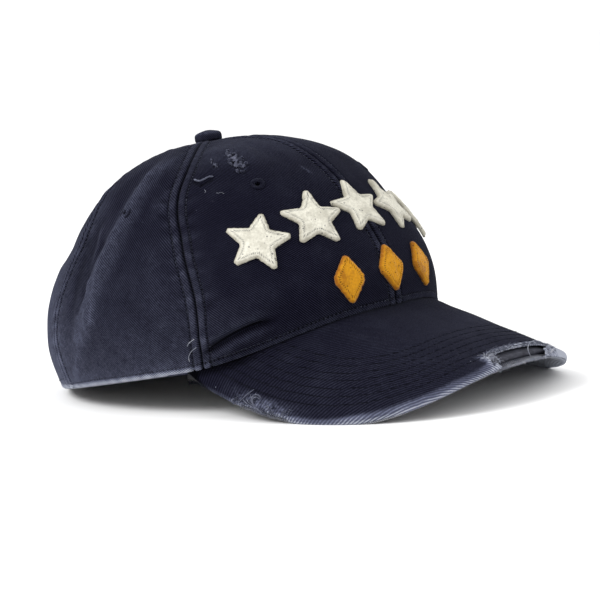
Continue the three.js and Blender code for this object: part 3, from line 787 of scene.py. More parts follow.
# Distances from a seam at which a panel has grid lines, fine where the cloth rolls and is sewn
SEAM_LINES = np.array([0.0, 0.28, 0.58, 0.95, 1.4, 2.0, 2.7, 3.4, 3.9, 4.3, 4.6,
                       4.9, 5.3, 5.9, 6.8, 7.9, 9.0])
STITCH_LINE = int(np.argmin(np.abs(SEAM_LINES - SEAM_STITCH)))
HEM_LINES = np.concatenate([[0, 0.12, 0.3, 0.55, 0.85, 1.3, 1.8, 2.3, 2.7, 3.0, 3.3, 3.7],
                            np.arange(4.2, 15, 0.55)])
HEM_LINE = int(np.argmin(np.abs(HEM_LINES - HEM_STITCH)))
CELL = 1.32  # the panels' grid elsewhere

# Where the wall's outer and inner faces start, by turn
_turns = np.arange(-182, 182.01, 0.5)
_starts = {0.0: wall_start(_turns, 0.0), -CLOTH: wall_start(_turns, -CLOTH)}


def wall_angle(turn, climb, lift):
    """The wall's angle a share climb of the way from the hem's cut to the hole under the button."""
    top = np.arccos((BUTTON_HOLE / HEAD["front"]) ** (1 / form_at(turn, "closing")))
    return mix(np.interp(turn, _turns, _starts[lift]), top, climb)


def panel_places(start_seam, end_seam):
    """A panel's grid of turns and climbs: rows by distance from the hem, columns by distance from the
    two seams, drawn together where the panel narrows to the button."""
    trial = np.linspace(0, 1, 240)
    middle = (start_seam(trial) + end_seam(trial)) / 2
    rise = lengths(folded_crown(middle, wall_angle(middle, trial, 0.0)), 0)
    rest = np.linspace(HEM_LINES[-1], rise[-1], int((rise[-1] - HEM_LINES[-1]) / CELL))[1:]
    climbs = np.interp(np.concatenate([HEM_LINES, rest]), rise, trial)
    share = np.linspace(0, 1, 90)
    turn = mix(start_seam(climbs)[:, None], end_seam(climbs)[:, None], share)
    across = lengths(folded_crown(turn, wall_angle(turn, climbs[:, None], 0.0)), 1)
    width = across[:, -1]
    squeeze = np.minimum(1, width / (2.3 * SEAM_LINES[-1]))
    inner = int((width.max() - 2 * SEAM_LINES[-1]) / CELL)
    near = SEAM_LINES * squeeze[:, None]
    far = width[:, None] - near[:, ::-1]
    between = mix(near[:, -1:], far[:, :1], np.linspace(0, 1, inner + 1)[1:-1])
    wanted = np.concatenate([near, between, far], 1)
    shares = np.stack([np.interp(w, a, share) for w, a in zip(wanted, across)])
    turn = mix(start_seam(climbs)[:, None], end_seam(climbs)[:, None], shares)
    return turn, np.broadcast_to(climbs[:, None], turn.shape), squeeze[:, None]


def seam_relief(away, along, squeeze, seed, pucker):
    """How the cloth beside a seam lies, by the distance away from it and along it: it rolls down into
    the seam, rises as a padded ridge, dips at the stitch row with a dimple at each needle hole, and
    puckers beyond it in hollows of uneven length. Returns the lift, the fade and the painted shade."""
    away = away / squeeze
    swing = ripple(along, 9.0, seed)
    short = ripple(along + 0.6 * away, 4.2, seed + 1)
    ridge = smooth(away, 0.1, 1.5) * (1 - smooth(away, 3.4, SEAM_STITCH))
    groove = bell(away - SEAM_STITCH, 0.55)
    beyond = smooth(away, SEAM_STITCH, SEAM_STITCH + 1.2) * bell(away - SEAM_STITCH - 1.0, 3.6)
    hollow = beyond * np.maximum(ripple(along - 0.5 * away, 7.5, seed + 2), 0) ** 1.5
    lift = -0.95 * bell(away, 0.62) + ridge * (0.46 + 0.16 * swing + 0.10 * short)
    lift = lift - 0.36 * groove + pucker * (0.28 * beyond - 0.95 * hollow)
    lift = lift * squeeze**0.6
    foot = 1 - smooth(along, 20, 75)
    fade_and_painted_light = ridge * (mix(0.02, 0.10, foot) + mix(0.03, 0.12, foot) * swing + 0.05 * short)
    fade_and_painted_light = fade_and_painted_light + mix(0.10, 0.22, foot) * beyond * pucker * np.maximum(swing, 0)
    # painted shade: darkest down the seam's valley, less in the stitch groove and the puckers' hollows
    painted_shade = 0.98 * bell(away, 0.55) + 0.30 * groove + 0.65 * pucker * hollow
    return lift, np.maximum(fade_and_painted_light, 0), painted_shade


SEAM_PUCKER = {"front": 0.25, "front_side": 0.5, "side_back": 0.6, "back": 0.35}
SEAM_SEED = {"front": 11, "front_side_right": 23, "front_side_left": 37, "side_back_right": 41,
             "side_back_left": 53, "back": 67}


def seam_part(key, away, along, squeeze):
    """The relief beside one named seam, the same on both panels that it joins."""
    pucker = SEAM_PUCKER[key.removesuffix("_right").removesuffix("_left")]
    return seam_relief(away, along, squeeze, SEAM_SEED[key], pucker)


# Worn spots of the front panels: turn, height, radius, how rough and how pale
WORN_SPOTS = (
    (38, 100, 4, 0.5, 0.12),
    (36, 96, 4, 0.5, 0.12),
    (47, 98, 2, 0.4, 0.10),
)
# Scratches that leave a narrow line, pale where it is lifted and a line of painted shade where it is sunk:
# turn and height at both ends, width, lift
SCRATCHES = (
    (57, 92, 54, 90, 0.7, -0.5),
    (54, 90, 49, 92, 0.7, -0.5),
    (12, 91, 10, 87, 0.5, 0.2),
)


def crown_wear(points, turn, height):
    """Roughness, fading and painted shade of the worn spots and scratches, and the cloth's general
    unevenness.
    """
    lift = 0.42 * rumple(points, 42, 5) + 0.16 * rumple(points, 13, 6)
    fade_and_painted_light = np.zeros(turn.shape)
    painted_shade = np.zeros(turn.shape)
    lumps = rumple(points, 2.6, 7)
    for spot_turn, spot_height, radius, rough, pale in WORN_SPOTS:
        spot = (spot_turn, spot_height, spot_turn + 0.01, spot_height)
        reach = bell(away_from_line(turn, height, spot), radius)
        lift = lift + reach * rough * lumps
        fade_and_painted_light = fade_and_painted_light + reach * pale * (0.55 + 0.9 * lumps)
        # painted shade on the lumps' low sides
        painted_shade = painted_shade + reach * 0.8 * smooth(-lumps, 0.1, 0.7)
    for *ends, width, lifted in SCRATCHES:
        away = away_from_line(turn, height, ends)
        lift = lift + lifted * bell(away, width)
        fade_and_painted_light = fade_and_painted_light + 0.3 * bell(away, width) * (lifted > 0)
        # painted shadow along a sunk scratch
        painted_shade = painted_shade + 0.8 * bell(away, width) * (lifted < 0)
    return lift, np.maximum(fade_and_painted_light, 0), painted_shade


def fold_wear_and_shade(points, turn, height):
    """Wear and painted shade that follow the sides' small folds: pale wear where the cloth stands out
    along a ridge, painted shade where it lies in down a valley, both in streaks that run downwards."""
    fine = fold_at(turn, height, FINE_FOLDS)
    away = np.abs(turn)
    strength = smooth(away, 62, 72) * mix(1.0, 0.3, smooth(away, 106, 124))
    strength = strength * (0.65 + 0.35 * rumple(points * (1, 1, 0.3), 4.0, 8))
    return 0.16 * strength * np.clip(fine, 0, 1.2), 0.30 * strength * np.clip(-fine, 0, 1.2)


def crown_fade_and_top_light(turn, height, hem_away):
    """How far the dye has gone by place: least in front, more to the sides, the back and the hem, and
    painted light that makes the top paler as if lit from above.
    """
    away = from_front(turn)
    sides = 0.015 + 0.055 * smooth(away, 48, 66) + 0.15 * smooth(away, 88, 125)
    back = 0.09 * smooth(away, 104, 124)
    # painted light: the crown's top paler, as lit from above, less so past the visor's ends
    top = 0.10 * smooth(height, 93, 106) * mix(1.0, 0.3, smooth(away, 58, 72))
    hem = 0.11 * bell(hem_away - 2, 24) * smooth(away, 56, 66)
    return sides * mix(1.1, 0.35, smooth(height, 35, 92)) + back + top + hem


def crease_relief(turn, height):
    """A sharp crease: a narrow valley between two low puffs, fading at both ends. Its height is a quarter
    of a sine wave of the turn, steep at the seam and level at its end."""
    share = np.clip((CREASE["from"] - turn) / (CREASE["from"] - CREASE["to"]), 0, 1)
    rise = CREASE["climb"] * np.sin(share * math.pi / 2)
    run = round_head(CREASE["from"] - CREASE["to"])
    slope = CREASE["climb"] * math.pi / 2 / run * np.cos(share * math.pi / 2)
    away = np.abs(height - CREASE["low"] - rise) / np.sqrt(1 + slope * slope)
    strength = smooth(turn, 37, 45) * (1 - smooth(turn, 57, 61))
    valley = bell(away, CREASE["width"]) * strength
    lift = -CREASE["depth"] * valley + 0.75 * bell(away - 4.0, 2.4) * strength
    # returns the lift, a little paling beside the valley, and painted shade down the valley
    return lift, 0.05 * bell(away - 3.4, 1.6) * strength, 1.1 * bell(away, 1.15) * strength


def hem_relief(away, turn):
    """Above the hem: the edge rolls in over half the cloth, a flat band follows, then the stitch row."""
    front = over_visor(turn)
    wave = ripple(round_head(turn), 8.0, 71)
    strength = mix(0.35, 1.0, front)
    lift = -rolled_edge(away, CLOTH / 2)
    lift = lift - strength * 0.34 * bell(away - HEM_STITCH, 0.5)
    lift = lift + strength * (0.18 + 0.10 * wave) * smooth(away, 0.5, 1.4) * (1 - smooth(away, 2.1, 3.0))
    edge = bell(away, 1.7) * (1.25 + 0.5 * wave)
    fade_and_painted_light = edge * mix(1.0, 0.10, front) + mix(0.16, 0.03, front) * bell(away - 1.6, 4.5)
    # painted shade in the stitch row's groove
    painted_shade = strength * 0.25 * bell(away - HEM_STITCH, 0.45)
    return lift, fade_and_painted_light, painted_shade


def panel_weave(turn, angle):
    """Places along a panel's cloth: across it from its middle, and up it from the opening's plane."""
    plain = smooth_crown(turn, angle)
    across = lengths(plain, 1)
    middle = across[:, across.shape[1] // 2][:, None]
    up = lengths(plain, 0) + hem_height(turn)
    return np.stack([middle - across, up, np.zeros_like(up)], -1)


def panel_sewn(seam_away, hem_away, turn):
    """The distance from the nearest stitch row, beside a seam or over the hem, the distance along it
    and its strength."""
    seam_row = seam_away - SEAM_STITCH
    hem_row = hem_away - HEM_STITCH
    at_seam = np.abs(seam_row) < np.abs(hem_row)
    across = np.where(at_seam, seam_row, hem_row)
    along = np.where(at_seam, hem_away, round_head(turn))
    strength = np.where(at_seam, 0.95, mix(0.45, 0.95, over_visor(turn)))
    return np.stack([across, along, strength], -1)


def panel(name, node, place, seams, keys):
    """One crown panel as a closed wall with its seams, folds and wear, and the hole for its eyelet."""
    turn, climb, squeeze = panel_places(*seams)
    angle = wall_angle(turn, climb, 0.0)
    height = smooth_crown(turn, angle)[..., 2]
    base = folded_crown(turn, angle)
    outward = outward_of(folded_crown, turn, angle)
    base = base + outward * fold_at(turn, height, FINE_FOLDS)[..., None]
    outward = grid_outward(base, outward)
    across = lengths(base, 1)
    from_end = across[:, -1:] - across
    hem_away = lengths(base, 0)
    parts = [
        seam_part(keys[0], across, hem_away[:, :1], squeeze),
        seam_part(keys[1], from_end, hem_away[:, -1:], squeeze),
        hem_relief(hem_away, turn),
        crown_wear(base, turn, height),
        crease_relief(turn, height),
    ]
    lift = sum(part[0] for part in parts)
    folded = fold_at(turn, height, FOLDS + FINE_FOLDS)
    fade_and_painted_light = sum(part[1] for part in parts) + crown_fade_and_top_light(turn, height, hem_away)
    worn_side = smooth(np.abs(turn), 55, 68)
    fade_and_painted_light = fade_and_painted_light + mix(0.03, 0.13, worn_side) * smooth(folded, 0.3, 2.0)
    fade_and_painted_light = fade_and_painted_light + mix(0.03, 0.10, worn_side) * smooth(lift, 0.2, 0.8)
    paling, shaded = fold_wear_and_shade(base, turn, height)
    fade_and_painted_light = fade_and_painted_light + paling
    # painted shade: from the parts, and down the valleys of the folds
    painted_shade = np.clip(sum(part[2] for part in parts) + shaded + 0.22 * smooth(-folded, 0.6, 2.0), 0, 1)
    outer = base + outward * lift[..., None]

    seam_away = np.minimum(across, from_end) / squeeze
    allowance = 0.45 * (1 - smooth(seam_away, 6.4, 7.0)) * smooth(hem_away, 2, 5)
    inner_angle = wall_angle(turn, climb, -CLOTH)
    inner_lift = fold_at(turn, height, FINE_FOLDS) - CLOTH
    inner = folded_crown(turn, inner_angle) + outward * inner_lift[..., None]
    roll = rolled_edge(hem_away, CLOTH / 2)
    inner = inner + outward * (roll - allowance + 0.2 * rumple(base, 42, 5))[..., None]

    eyelet_turn, eyelet_height = EYELET_PLACES[place]
    centre, _, _, out = crown_seat(math.copysign(eyelet_turn, turn.mean()), eyelet_height, 0.0)
    keep, outer, inner = punched(outer, inner, centre, out, EYELET["hole"])

    sewn = panel_sewn(seam_away, hem_away, turn)
    values = {"weave": panel_weave(turn, angle), "fade_and_painted_light": fade_and_painted_light, "painted_shade": painted_shade, "sewn": sewn}
    piece = shell_piece(name, outer, inner, values, WASHED_TWILL, "washed_twill", keep)
    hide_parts(node)
    rows = slice(HEM_LINE, int((squeeze[:, 0] > 0.42).sum()))
    seam_paths = [outer[rows, STITCH_LINE], outer[rows, -1 - STITCH_LINE]]
    seam_out = [outward[rows, STITCH_LINE], outward[rows, -1 - STITCH_LINE]]
    hem_path = (outer[HEM_LINE, 3:-3], outward[HEM_LINE, 3:-3])
    return list(zip(seam_paths, seam_out)), hem_path


def punched(outer, inner, centre, out, radius):
    """Cuts a round hole through a wall's two grids: drops the cells whose middle is inside, and draws
    the corners left round the hole onto its circle."""
    middle = (outer[:-1, :-1] + outer[1:, :-1] + outer[:-1, 1:] + outer[1:, 1:]) / 4
    keep = np.linalg.norm(middle - centre, axis=-1) > radius
    padded = np.pad(keep, 1, constant_values=True)
    around = np.stack([padded[:-1, :-1], padded[1:, :-1], padded[:-1, 1:], padded[1:, 1:]])
    rim = around.any(0) & ~around.all(0)
    for grid, middle_point in ((outer, centre), (inner, centre - out * CLOTH)):
        ray = grid[rim] - middle_point
        flat = ray - (ray @ out)[:, None] * out
        grid[rim] = middle_point + unit(flat) * radius + (ray @ out)[:, None] * out
    return keep, outer, inner


def left(seam):
    """The same seam on the wearer's left."""
    return lambda climb: -seam(climb)


def upright(turn):
    """A seam that climbs straight up at one turn."""
    return lambda climb: np.full(np.shape(climb), float(turn))


# Each panel's place, its two seams and their names, from the one with the smaller turn
PANELS = (
    ("front_right", (upright(0), front_side_seam), ("front", "front_side_right")),
    ("front_left", (left(front_side_seam), upright(0)), ("front_side_left", "front")),
    ("side_right", (front_side_seam, side_back_seam), ("front_side_right", "side_back_right")),
    ("side_left", (left(side_back_seam), left(front_side_seam)), ("side_back_left", "front_side_left")),
    ("back_right", (side_back_seam, upright(180)), ("side_back_right", "back")),
    ("back_left", (upright(-180), left(side_back_seam)), ("back", "side_back_left")),
)

# ---------------------------------------------------------------- stitches and loose threads


def resampled(path, pitch):
    """Distances along a path: of each of its points, and of the stitches' middles, a pitch apart."""
    run = lengths(path, 0)
    count = max(int(run[-1] / pitch), 1)
    return run, (np.arange(count) + 0.5) * pitch


def stitches(path, outward, seed, length=1.7, pitch=STITCH_PITCH, radius=THREAD, lift=0.10):
    """A row of stitches: each is a short thread that comes up out of the cloth, lies on it and goes
    back in, its height over the cloth an arch of 1 - t^4."""
    run, middles = resampled(path, pitch)
    draw = np.random.default_rng(seed)
    middles = middles + draw.normal(0, 0.12, len(middles))
    t = np.linspace(-1, 1, 6)
    spans = length / 2 * draw.uniform(0.85, 1.1, (len(middles), 1))
    along = middles[:, None] + t * spans
    place = rows_at(along, run, path)
    out = unit(rows_at(along, run, outward))
    height = mix(-radius * 1.6, lift, 1 - t**4) + draw.normal(0, 0.04, (len(middles), 1))
    across = unit(np.cross(np.gradient(place, axis=1), out))
    slant = draw.normal(0, 0.09, (len(middles), 1)) + 0.10 * t
    paths = place + out * height[..., None] + across * slant[..., None]
    return tubes(paths, radius * (1 - 0.35 * t**4), sides=4)


def loose_threads(starts, ways, outs, seed, length, radius, curl=0.5, rise=0.6, steps=9):
    """Frayed threads: each leaves its start along its way, lifts off the cloth along out and wanders
    by two random bends, its radius drawn in at the tip."""
    draw = np.random.default_rng(seed)
    count = len(starts)
    t = np.linspace(0, 1, steps)[None, :, None]
    long = np.broadcast_to(length, (count,))[:, None, None] * draw.uniform(0.6, 1.2, (count, 1, 1))
    aside = unit(np.cross(ways, outs))[:, None]
    bend = draw.normal(0, curl, (count, 1, 1))
    wave = draw.normal(0, curl * 0.5, (count, 1, 1))
    up = draw.uniform(0.3, 1.2, (count, 1, 1)) * rise
    paths = starts[:, None] + ways[:, None] * (t * long) + outs[:, None] * (np.sin(t * 2.2) * up)
    paths = paths + aside * long * (bend * t * t + wave * np.sin(t * 6.0) * 0.35)
    taper = 1 - 0.6 * np.linspace(0, 1, steps) ** 2
    return tubes(paths, radius * taper, sides=4)


def spline(points, steps=40):
    """A smooth path through a few points, by distance along them."""
    points = np.array(points, float)
    run = lengths(points, 0)
    at = np.linspace(0, run[-1], steps)
    return np.stack([table_curve(run, points[:, k])(at) for k in range(3)], -1)


# ---------------------------------------------------------------- visor

VISOR_CELL = 1.05  # the top cover's grid
UNDER_CELL = 1.4  # the lower cover's
BOARD_CELL = 2.6  # the stiffener's, along the edge
BOARD_ROWS = 28
RIM_STEP = 0.8  # between the edge's points that distances are measured from
LIP_STEPS = 9  # grid lines round a cover's curled lip
# How far each cover curls over the edge: the top one nearly all the way down, the lower one a little
TOP_LIP = {"round": EDGE_ROUND, "depth": 2 * EDGE_DEPTH - GAP - 0.7, "arc": 4.7}
UNDER_LIP = {"round": 1.5, "depth": 0.7, "arc": 1.8}
# Where the torn slot's two long sides lie on the untorn cover, and how far they part, from the edge
SLOT_ROWS = (2.2, 8.0)
SLOT_MIDDLE = 5.0
SLOT_STRETCH = 20.0  # from this far in the grid isn't stretched
TEAR_FRONT = -150  # the slot and the missing lip lie forward of this y
MISSING_LIP = (-16, 20)  # x at both ends of the missing lip
NICK_SIDE = -60  # the nick is cut beyond this x
NICK_FRINGE = (-101, -72)  # y at both ends of the frayed stretch round the nick
FAR_FRINGE = (-17, 30)  # x at both ends of the fringe off the slot's far side
LIP_FRINGE = (-18, 22)  # and of the one under the missing lip


def visor_stations(step):
    """Shares of the visor's edge a step apart along it."""
    trial = np.linspace(-VISOR_END, VISOR_END, 900)
    run = lengths(visor_edge(trial), 0)
    return np.interp(np.linspace(0, run[-1], int(run[-1] / step)), run, trial)


def slot_reach(x):
    """How wide the torn slot is at a place along the front edge: 1 in its middle, 0 past its ends."""
    along = np.abs((x - TEAR["x"]) / TEAR["half_length"])
    return np.sqrt(np.maximum(1 - along**3.2, 0)), along


def slot_sides(x):
    """The slot's near and far sides, from the visor's edge, wandering a little as torn cloth does."""
    reach, along = slot_reach(x)
    ragged = 0.38 * ripple(x, 4.5, 91) + 0.22 * ripple(x, 1.7, 92)
    relaxed = smooth(along, 1.0, 1.7)
    near = SLOT_MIDDLE - reach * 3.4 + ragged * (reach > 0)
    far = SLOT_MIDDLE + reach * (mix(3.6, 2.6, smooth(x, -8, 20)) + ragged)
    return mix(near, SLOT_ROWS[0], relaxed), mix(far, SLOT_ROWS[1], relaxed)


def visor_frame(step, first_inset, rows, torn):
    """Stations along the edge and insets from it towards the crown. Where torn, the insets of each
    station are stretched so that two grid lines follow the sides of the slot."""
    shares = visor_stations(step)
    edge = visor_edge(shares)
    root = visor_root(shares * VISOR["half_turn"])
    root = root * (1 - ROOT_TUCK / np.linalg.norm(root, axis=-1, keepdims=True))
    length = np.linalg.norm(root - edge, axis=-1)
    inward = unit(root - edge)
    flat = mix(first_inset, length, np.linspace(0, 1, rows)[:, None])
    near, far = slot_sides(edge[:, 0])
    near_row, far_row = SLOT_ROWS

    def drawn(inset):
        if not torn:
            return inset
        outside = inset / near_row * near
        between = mix(near, far, (inset - near_row) / (far_row - near_row))
        beyond = mix(far, SLOT_STRETCH, (inset - far_row) / (SLOT_STRETCH - far_row))
        return np.select([inset < near_row, inset < far_row, inset < SLOT_STRETCH],
                         [outside, between, beyond], inset)

    def at(inset, depth):
        inset = drawn(inset)
        place = edge + inward * inset[..., None]
        upright = np.clip(inset / length, 0, 1) ** 2
        return visor_point(place[..., 0], place[..., 1], depth + GAP, upright)

    return shares, edge, flat, at


def away_from_edge(points):
    """The distance of each point from the visor's outer edge, straight through space."""
    shares = visor_stations(RIM_STEP)
    edge = visor_edge(shares)
    rim = np.concatenate([edge, visor_height(edge[:, 0], edge[:, 1])[:, None]], 1)
    rows = [np.linalg.norm(row[:, None] - rim, axis=-1).min(1) for row in points]
    return np.stack(rows)


def visor_relief(points, away):
    """The covers' stitch rows: a soft groove along each, and the cloth's own unevenness. Returns the
    lift, the painted shade in the grooves and the distances from and along the nearest row."""
    lift = 0.22 * rumple(points, 26, 81) + 0.08 * rumple(points, 9, 82)
    painted_shade = np.zeros(away.shape)
    for row in VISOR_ROWS:
        groove = bell(away - row, 0.75)
        lift = lift - 0.14 * groove
        # painted shade in each groove
        painted_shade = painted_shade + 0.10 * groove
    nearest = np.clip(np.round(away / VISOR_ROW_GAP), 2, len(VISOR_ROWS) + 1) * VISOR_ROW_GAP
    sewn = np.stack([away - nearest, lengths(points, 1), np.full(away.shape, 0.8)], -1)
    return lift, painted_shade, sewn


def whole_cells(base, inset):
    """Which of the top cover's cells are left: none in the slot, the missing lip and the nick."""
    x, y = base[..., 0], base[..., 1]
    cell_x = (x[:-1, :-1] + x[1:, 1:]) / 2
    cell_y = (y[:-1, :-1] + y[1:, 1:]) / 2
    cell_inset = (inset[:-1, :-1] + inset[1:, 1:]) / 2
    cell_reach = slot_reach(cell_x)[0]
    slot_cells = (cell_reach > 0) & (cell_inset > SLOT_ROWS[0]) & (cell_inset < SLOT_ROWS[1])
    slot_cells &= cell_y < TEAR_FRONT
    ragged = 1.5 * rumple(base[:-1, :-1], 2.5, 85)
    start, end = MISSING_LIP
    edge_gone = (cell_x > start + ragged) & (cell_x < end + ragged) & (cell_inset < SLOT_ROWS[0])
    edge_gone &= cell_y < TEAR_FRONT
    nick_depth = NICK["depth"] * (0.75 + 0.3 * ripple(cell_y, 3.0, 93))
    nick_span = np.sqrt(np.maximum(1 - ((cell_y - NICK["y"]) / NICK["half_length"]) ** 2, 0))
    nick_cells = (cell_x < NICK_SIDE) & (cell_inset < nick_depth * nick_span)
    return ~(slot_cells | edge_gone | nick_cells)


def visor_cover(name, node, turned, material, slot):
    """One of the visor's covers: a wall that runs out from under the crown and curls over the edge."""
    cell = UNDER_CELL if turned else VISOR_CELL
    rows = int(VISOR["reach"] / cell)
    torn = not turned
    curl = UNDER_LIP if turned else TOP_LIP
    shares, edge, flat, at = visor_frame(cell, curl["round"], rows, torn)
    lip = np.radians(np.linspace(90, 0, LIP_STEPS))[:-1, None] * np.ones(len(shares))
    lip_depth, lip_round = curl["depth"], curl["round"]
    wall = min(COVER, lip_depth * 0.8)
    inset = np.concatenate([lip_round * (1 - np.sin(lip)), flat])
    unrolled = np.concatenate([lip_round - curl["arc"] * lip / lip.max(), flat])
    level = np.zeros_like(flat)
    outer_depth = np.concatenate([lip_depth * (1 - np.cos(lip)), level])
    inner_inset = np.concatenate([lip_round - (lip_round - COVER) * np.sin(lip), flat])
    inner_depth = np.concatenate([wall + (lip_depth - wall) * (1 - np.cos(lip)), level + COVER])
    if turned:
        outer_depth, inner_depth = 2 * EDGE_DEPTH - outer_depth, 2 * EDGE_DEPTH - inner_depth
    base = at(inset, outer_depth)
    inner = at(inner_inset, inner_depth)
    up = np.broadcast_to((0.0, 0.0, -1.0 if turned else 1.0), base.shape)
    outward = grid_outward(base, up + 0.3 * unit(base * (1, 1, 0)))
    away = away_from_edge(base)
    x, y = base[..., 0], base[..., 1]
    lift, painted_shade, sewn = visor_relief(base, away)
    root_away = lengths(base[::-1], 0)[::-1]
    fade_wave = 0.5 + 0.5 * rumple(base, 22, 83)
    band = smooth(unrolled, 3.9 + 1.6 * (fade_wave - 0.5), 0.9)
    fade_and_painted_light = 0.045 + 0.62 * band * (0.60 + 0.55 * fade_wave) + 0.45 * smooth(unrolled, 0.4, -0.9)
    keep = None
    if turned:
        # the underside's far front corner is paled, partly the lining's real fading and partly painted
        # light thrown up from the floor
        corner = smooth(x, 20, 40) * smooth(y, -95, -130)
        fade_and_painted_light = 0.12 + fade_and_painted_light * 0.5 + 1.6 * smooth(away, 16, 4) * corner
        # paling drawn out towards the crown
        fade_and_painted_light = fade_and_painted_light * mix(1.0, 0.15, smooth(y, -75, -50))
    if torn:
        corner = smooth(x, 24, 34) * smooth(y, -110, -140) * smooth(unrolled, 12, 5)
        fade_and_painted_light = fade_and_painted_light + 1.25 * corner * (0.8 + 0.4 * fade_wave)
        fade_and_painted_light = fade_and_painted_light * mix(1.0, 0.55, smooth(y, -78, -60)) * mix(1.0, 0.3, smooth(root_away, 40, 8))
        nominal = np.broadcast_to(inset, x.shape)
        along = slot_reach(x)[1]
        to_slot = np.maximum(np.maximum(SLOT_ROWS[0] - nominal, nominal - SLOT_ROWS[1]), 0)
        rim = (1 - smooth(to_slot, 1.8, 4.6)) * smooth(along, 1.36, 1.10) * (y < -140)
        rough = rumple(base, 1.6, 84)
        fade_and_painted_light = fade_and_painted_light * (1 - rim) + rim * (1.20 + 0.60 * rough)
        lift = lift + rim * (0.75 + 0.45 * rough)
        inner = inner + outward * (0.85 * rim)[..., None]
        # painted shade between the torn rim's lumps
        painted_shade = painted_shade + 0.7 * rim * smooth(-rough, 0.25, 0.8)
        nick_share = (y - NICK["y"]) / NICK["half_length"]
        nicked = bell(x - NICK["x"], 6.5) * bell(nick_share, 1.0) * smooth(away, 9, 4)
        fade_and_painted_light = fade_and_painted_light + 0.6 * nicked * (0.8 + 0.5 * rough)
        lift = lift + nicked * (0.25 + 0.45 * rough)
        # painted shade between the nick's lumps
        painted_shade = painted_shade + nicked * 0.5 * smooth(-rough, 0.0, 0.8)
        keep = whole_cells(base, nominal)
    outer = base + outward * lift[..., None]
    fade_and_painted_light = np.clip(fade_and_painted_light, 0, 2)
    # painted shade where the cover runs in under the crown, and towards the crown near the visor's ends
    tuck_shade = 0.55 * smooth(root_away, 3.0, 0.6) + 0.8 * smooth(y, -80, -64) * smooth(root_away, 9, 4)
    painted_shade = np.clip(painted_shade + tuck_shade, 0, 1)
    # at the cover's ends by the crown: no paling, and painted shade
    end_away = np.minimum(lengths(base, 1), lengths(base[:, ::-1], 1)[:, ::-1])
    fade_and_painted_light = fade_and_painted_light * smooth(end_away, 3, 8)
    painted_shade = np.clip(painted_shade + 0.9 * smooth(end_away, 7, 3), 0, 1)
    inward = unit(base[LIP_STEPS + 4] - base[LIP_STEPS])[:, :2]
    plan = edge + inward * unrolled[..., None]
    weave = np.concatenate([plan, np.zeros_like(x)[..., None]], -1)
    if turned:
        weave = weave * (-1, 1, 1)
    values = {"weave": weave, "fade_and_painted_light": fade_and_painted_light, "painted_shade": painted_shade, "sewn": sewn}
    piece = shell_piece(name, outer, inner, values, material, slot, keep)
    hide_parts(node)
    return outer, outward, away


def visor_board():
    """The stiffener between the covers: the same surface, deeper, between two plain faces, with painted
    shade at its two ends by the crown."""
    _, _, flat, at = visor_frame(BOARD_CELL, BOARD_INSET, BOARD_ROWS, False)
    top = at(flat, np.full_like(flat, COVER + BOARD_GAP))
    bottom = at(flat, np.full_like(flat, COVER + BOARD_GAP + BOARD))
    painted_shade = smooth(top[..., 1], -92, -80)
    piece = shell_piece("stiff_board", top, bottom, {"painted_shade": painted_shade}, BOARD_GREY, "board")
    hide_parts("visor_board")


def visor_row_paths(outer, outward, away):
    """A path along the cover at each stitch row's distance from the edge, outside the crown."""
    paths = []
    for row in VISOR_ROWS:
        inner_part = slice(LIP_STEPS, None)
        points, outs = [], []
        for k in range(0, outer.shape[1], 2):
            column = away[inner_part, k]
            if column[-1] < row + 2.5:
                continue
            at = np.interp(row, np.maximum.accumulate(column), np.arange(len(column)))
            low = int(at)
            share = at - low
            points.append(mix(outer[inner_part][low, k], outer[inner_part][low + 1, k], share))
            outs.append(outward[inner_part][low, k])
        paths.append((np.array(points), np.array(outs)))
    return paths


# ---------------------------------------------------------------- sweatband


BAND_COLUMNS = 420


def sweatband():
    """The band inside the crown, a smooth closed wall whose lower edge hangs just under the hem."""
    turns = np.linspace(-180, 180, BAND_COLUMNS + 1)[:-1]
    along = np.cos(np.radians(turns))
    end = np.where(along > 0, BAND_DROP["front"], BAND_DROP["back"])
    hem = hem_height(turns)
    bottom = hem - mix(BAND_DROP["side"], end, along * along)
    share = np.concatenate([np.linspace(0, 0.12, 8), np.linspace(0.15, 1, 20)])[:, None]
    height = mix(bottom, hem + BAND["height"], share)
    turn = np.broadcast_to(turns, height.shape)
    face = smooth_crown(turn, angle_at(turn, height))
    outward = outward_of(smooth_crown, turn, angle_at(turn, height))
    sink = CLOTH + BAND["clear"]
    rise = lengths(face, 0)
    width = BAND["thickness"]
    roll = rolled_edge(rise, width / 2)
    stitch = 0.28 * bell(rise - BAND_STITCH, 0.5)
    wave = 0.18 * rumple(face, 16, 61)
    outer = face - outward * (sink + roll)[..., None]
    inner = face - outward * (sink + width - roll - stitch - np.abs(wave) * 0.6)[..., None]
    run = round_head(turns)
    weave = np.stack([np.broadcast_to(run, rise.shape), rise, np.zeros_like(rise)], -1)
    fade_and_painted_light = 0.10 + 0.35 * bell(rise, 1.2) + 0.12 * np.maximum(rumple(face, 20, 62), 0)
    # painted shade in the stitch row's groove
    painted_shade = 0.35 * bell(rise - BAND_STITCH, 0.5)
    sewn = np.full((*rise.shape, 3), UNSEWN)
    values = {"weave": weave, "fade_and_painted_light": fade_and_painted_light, "painted_shade": painted_shade, "sewn": sewn}
    piece = shell_piece("inner_band", outer, inner, values, BAND_TWILL, "band_twill", looped=True)
    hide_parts("sweatband")
    row = int(np.argmin(np.abs(rise[:, 0] - BAND_STITCH)))
    return inner[row], -outward[row]


# ---------------------------------------------------------------- button and eyelets


BUTTON_RINGS = 44
BUTTON_SIDES = 96


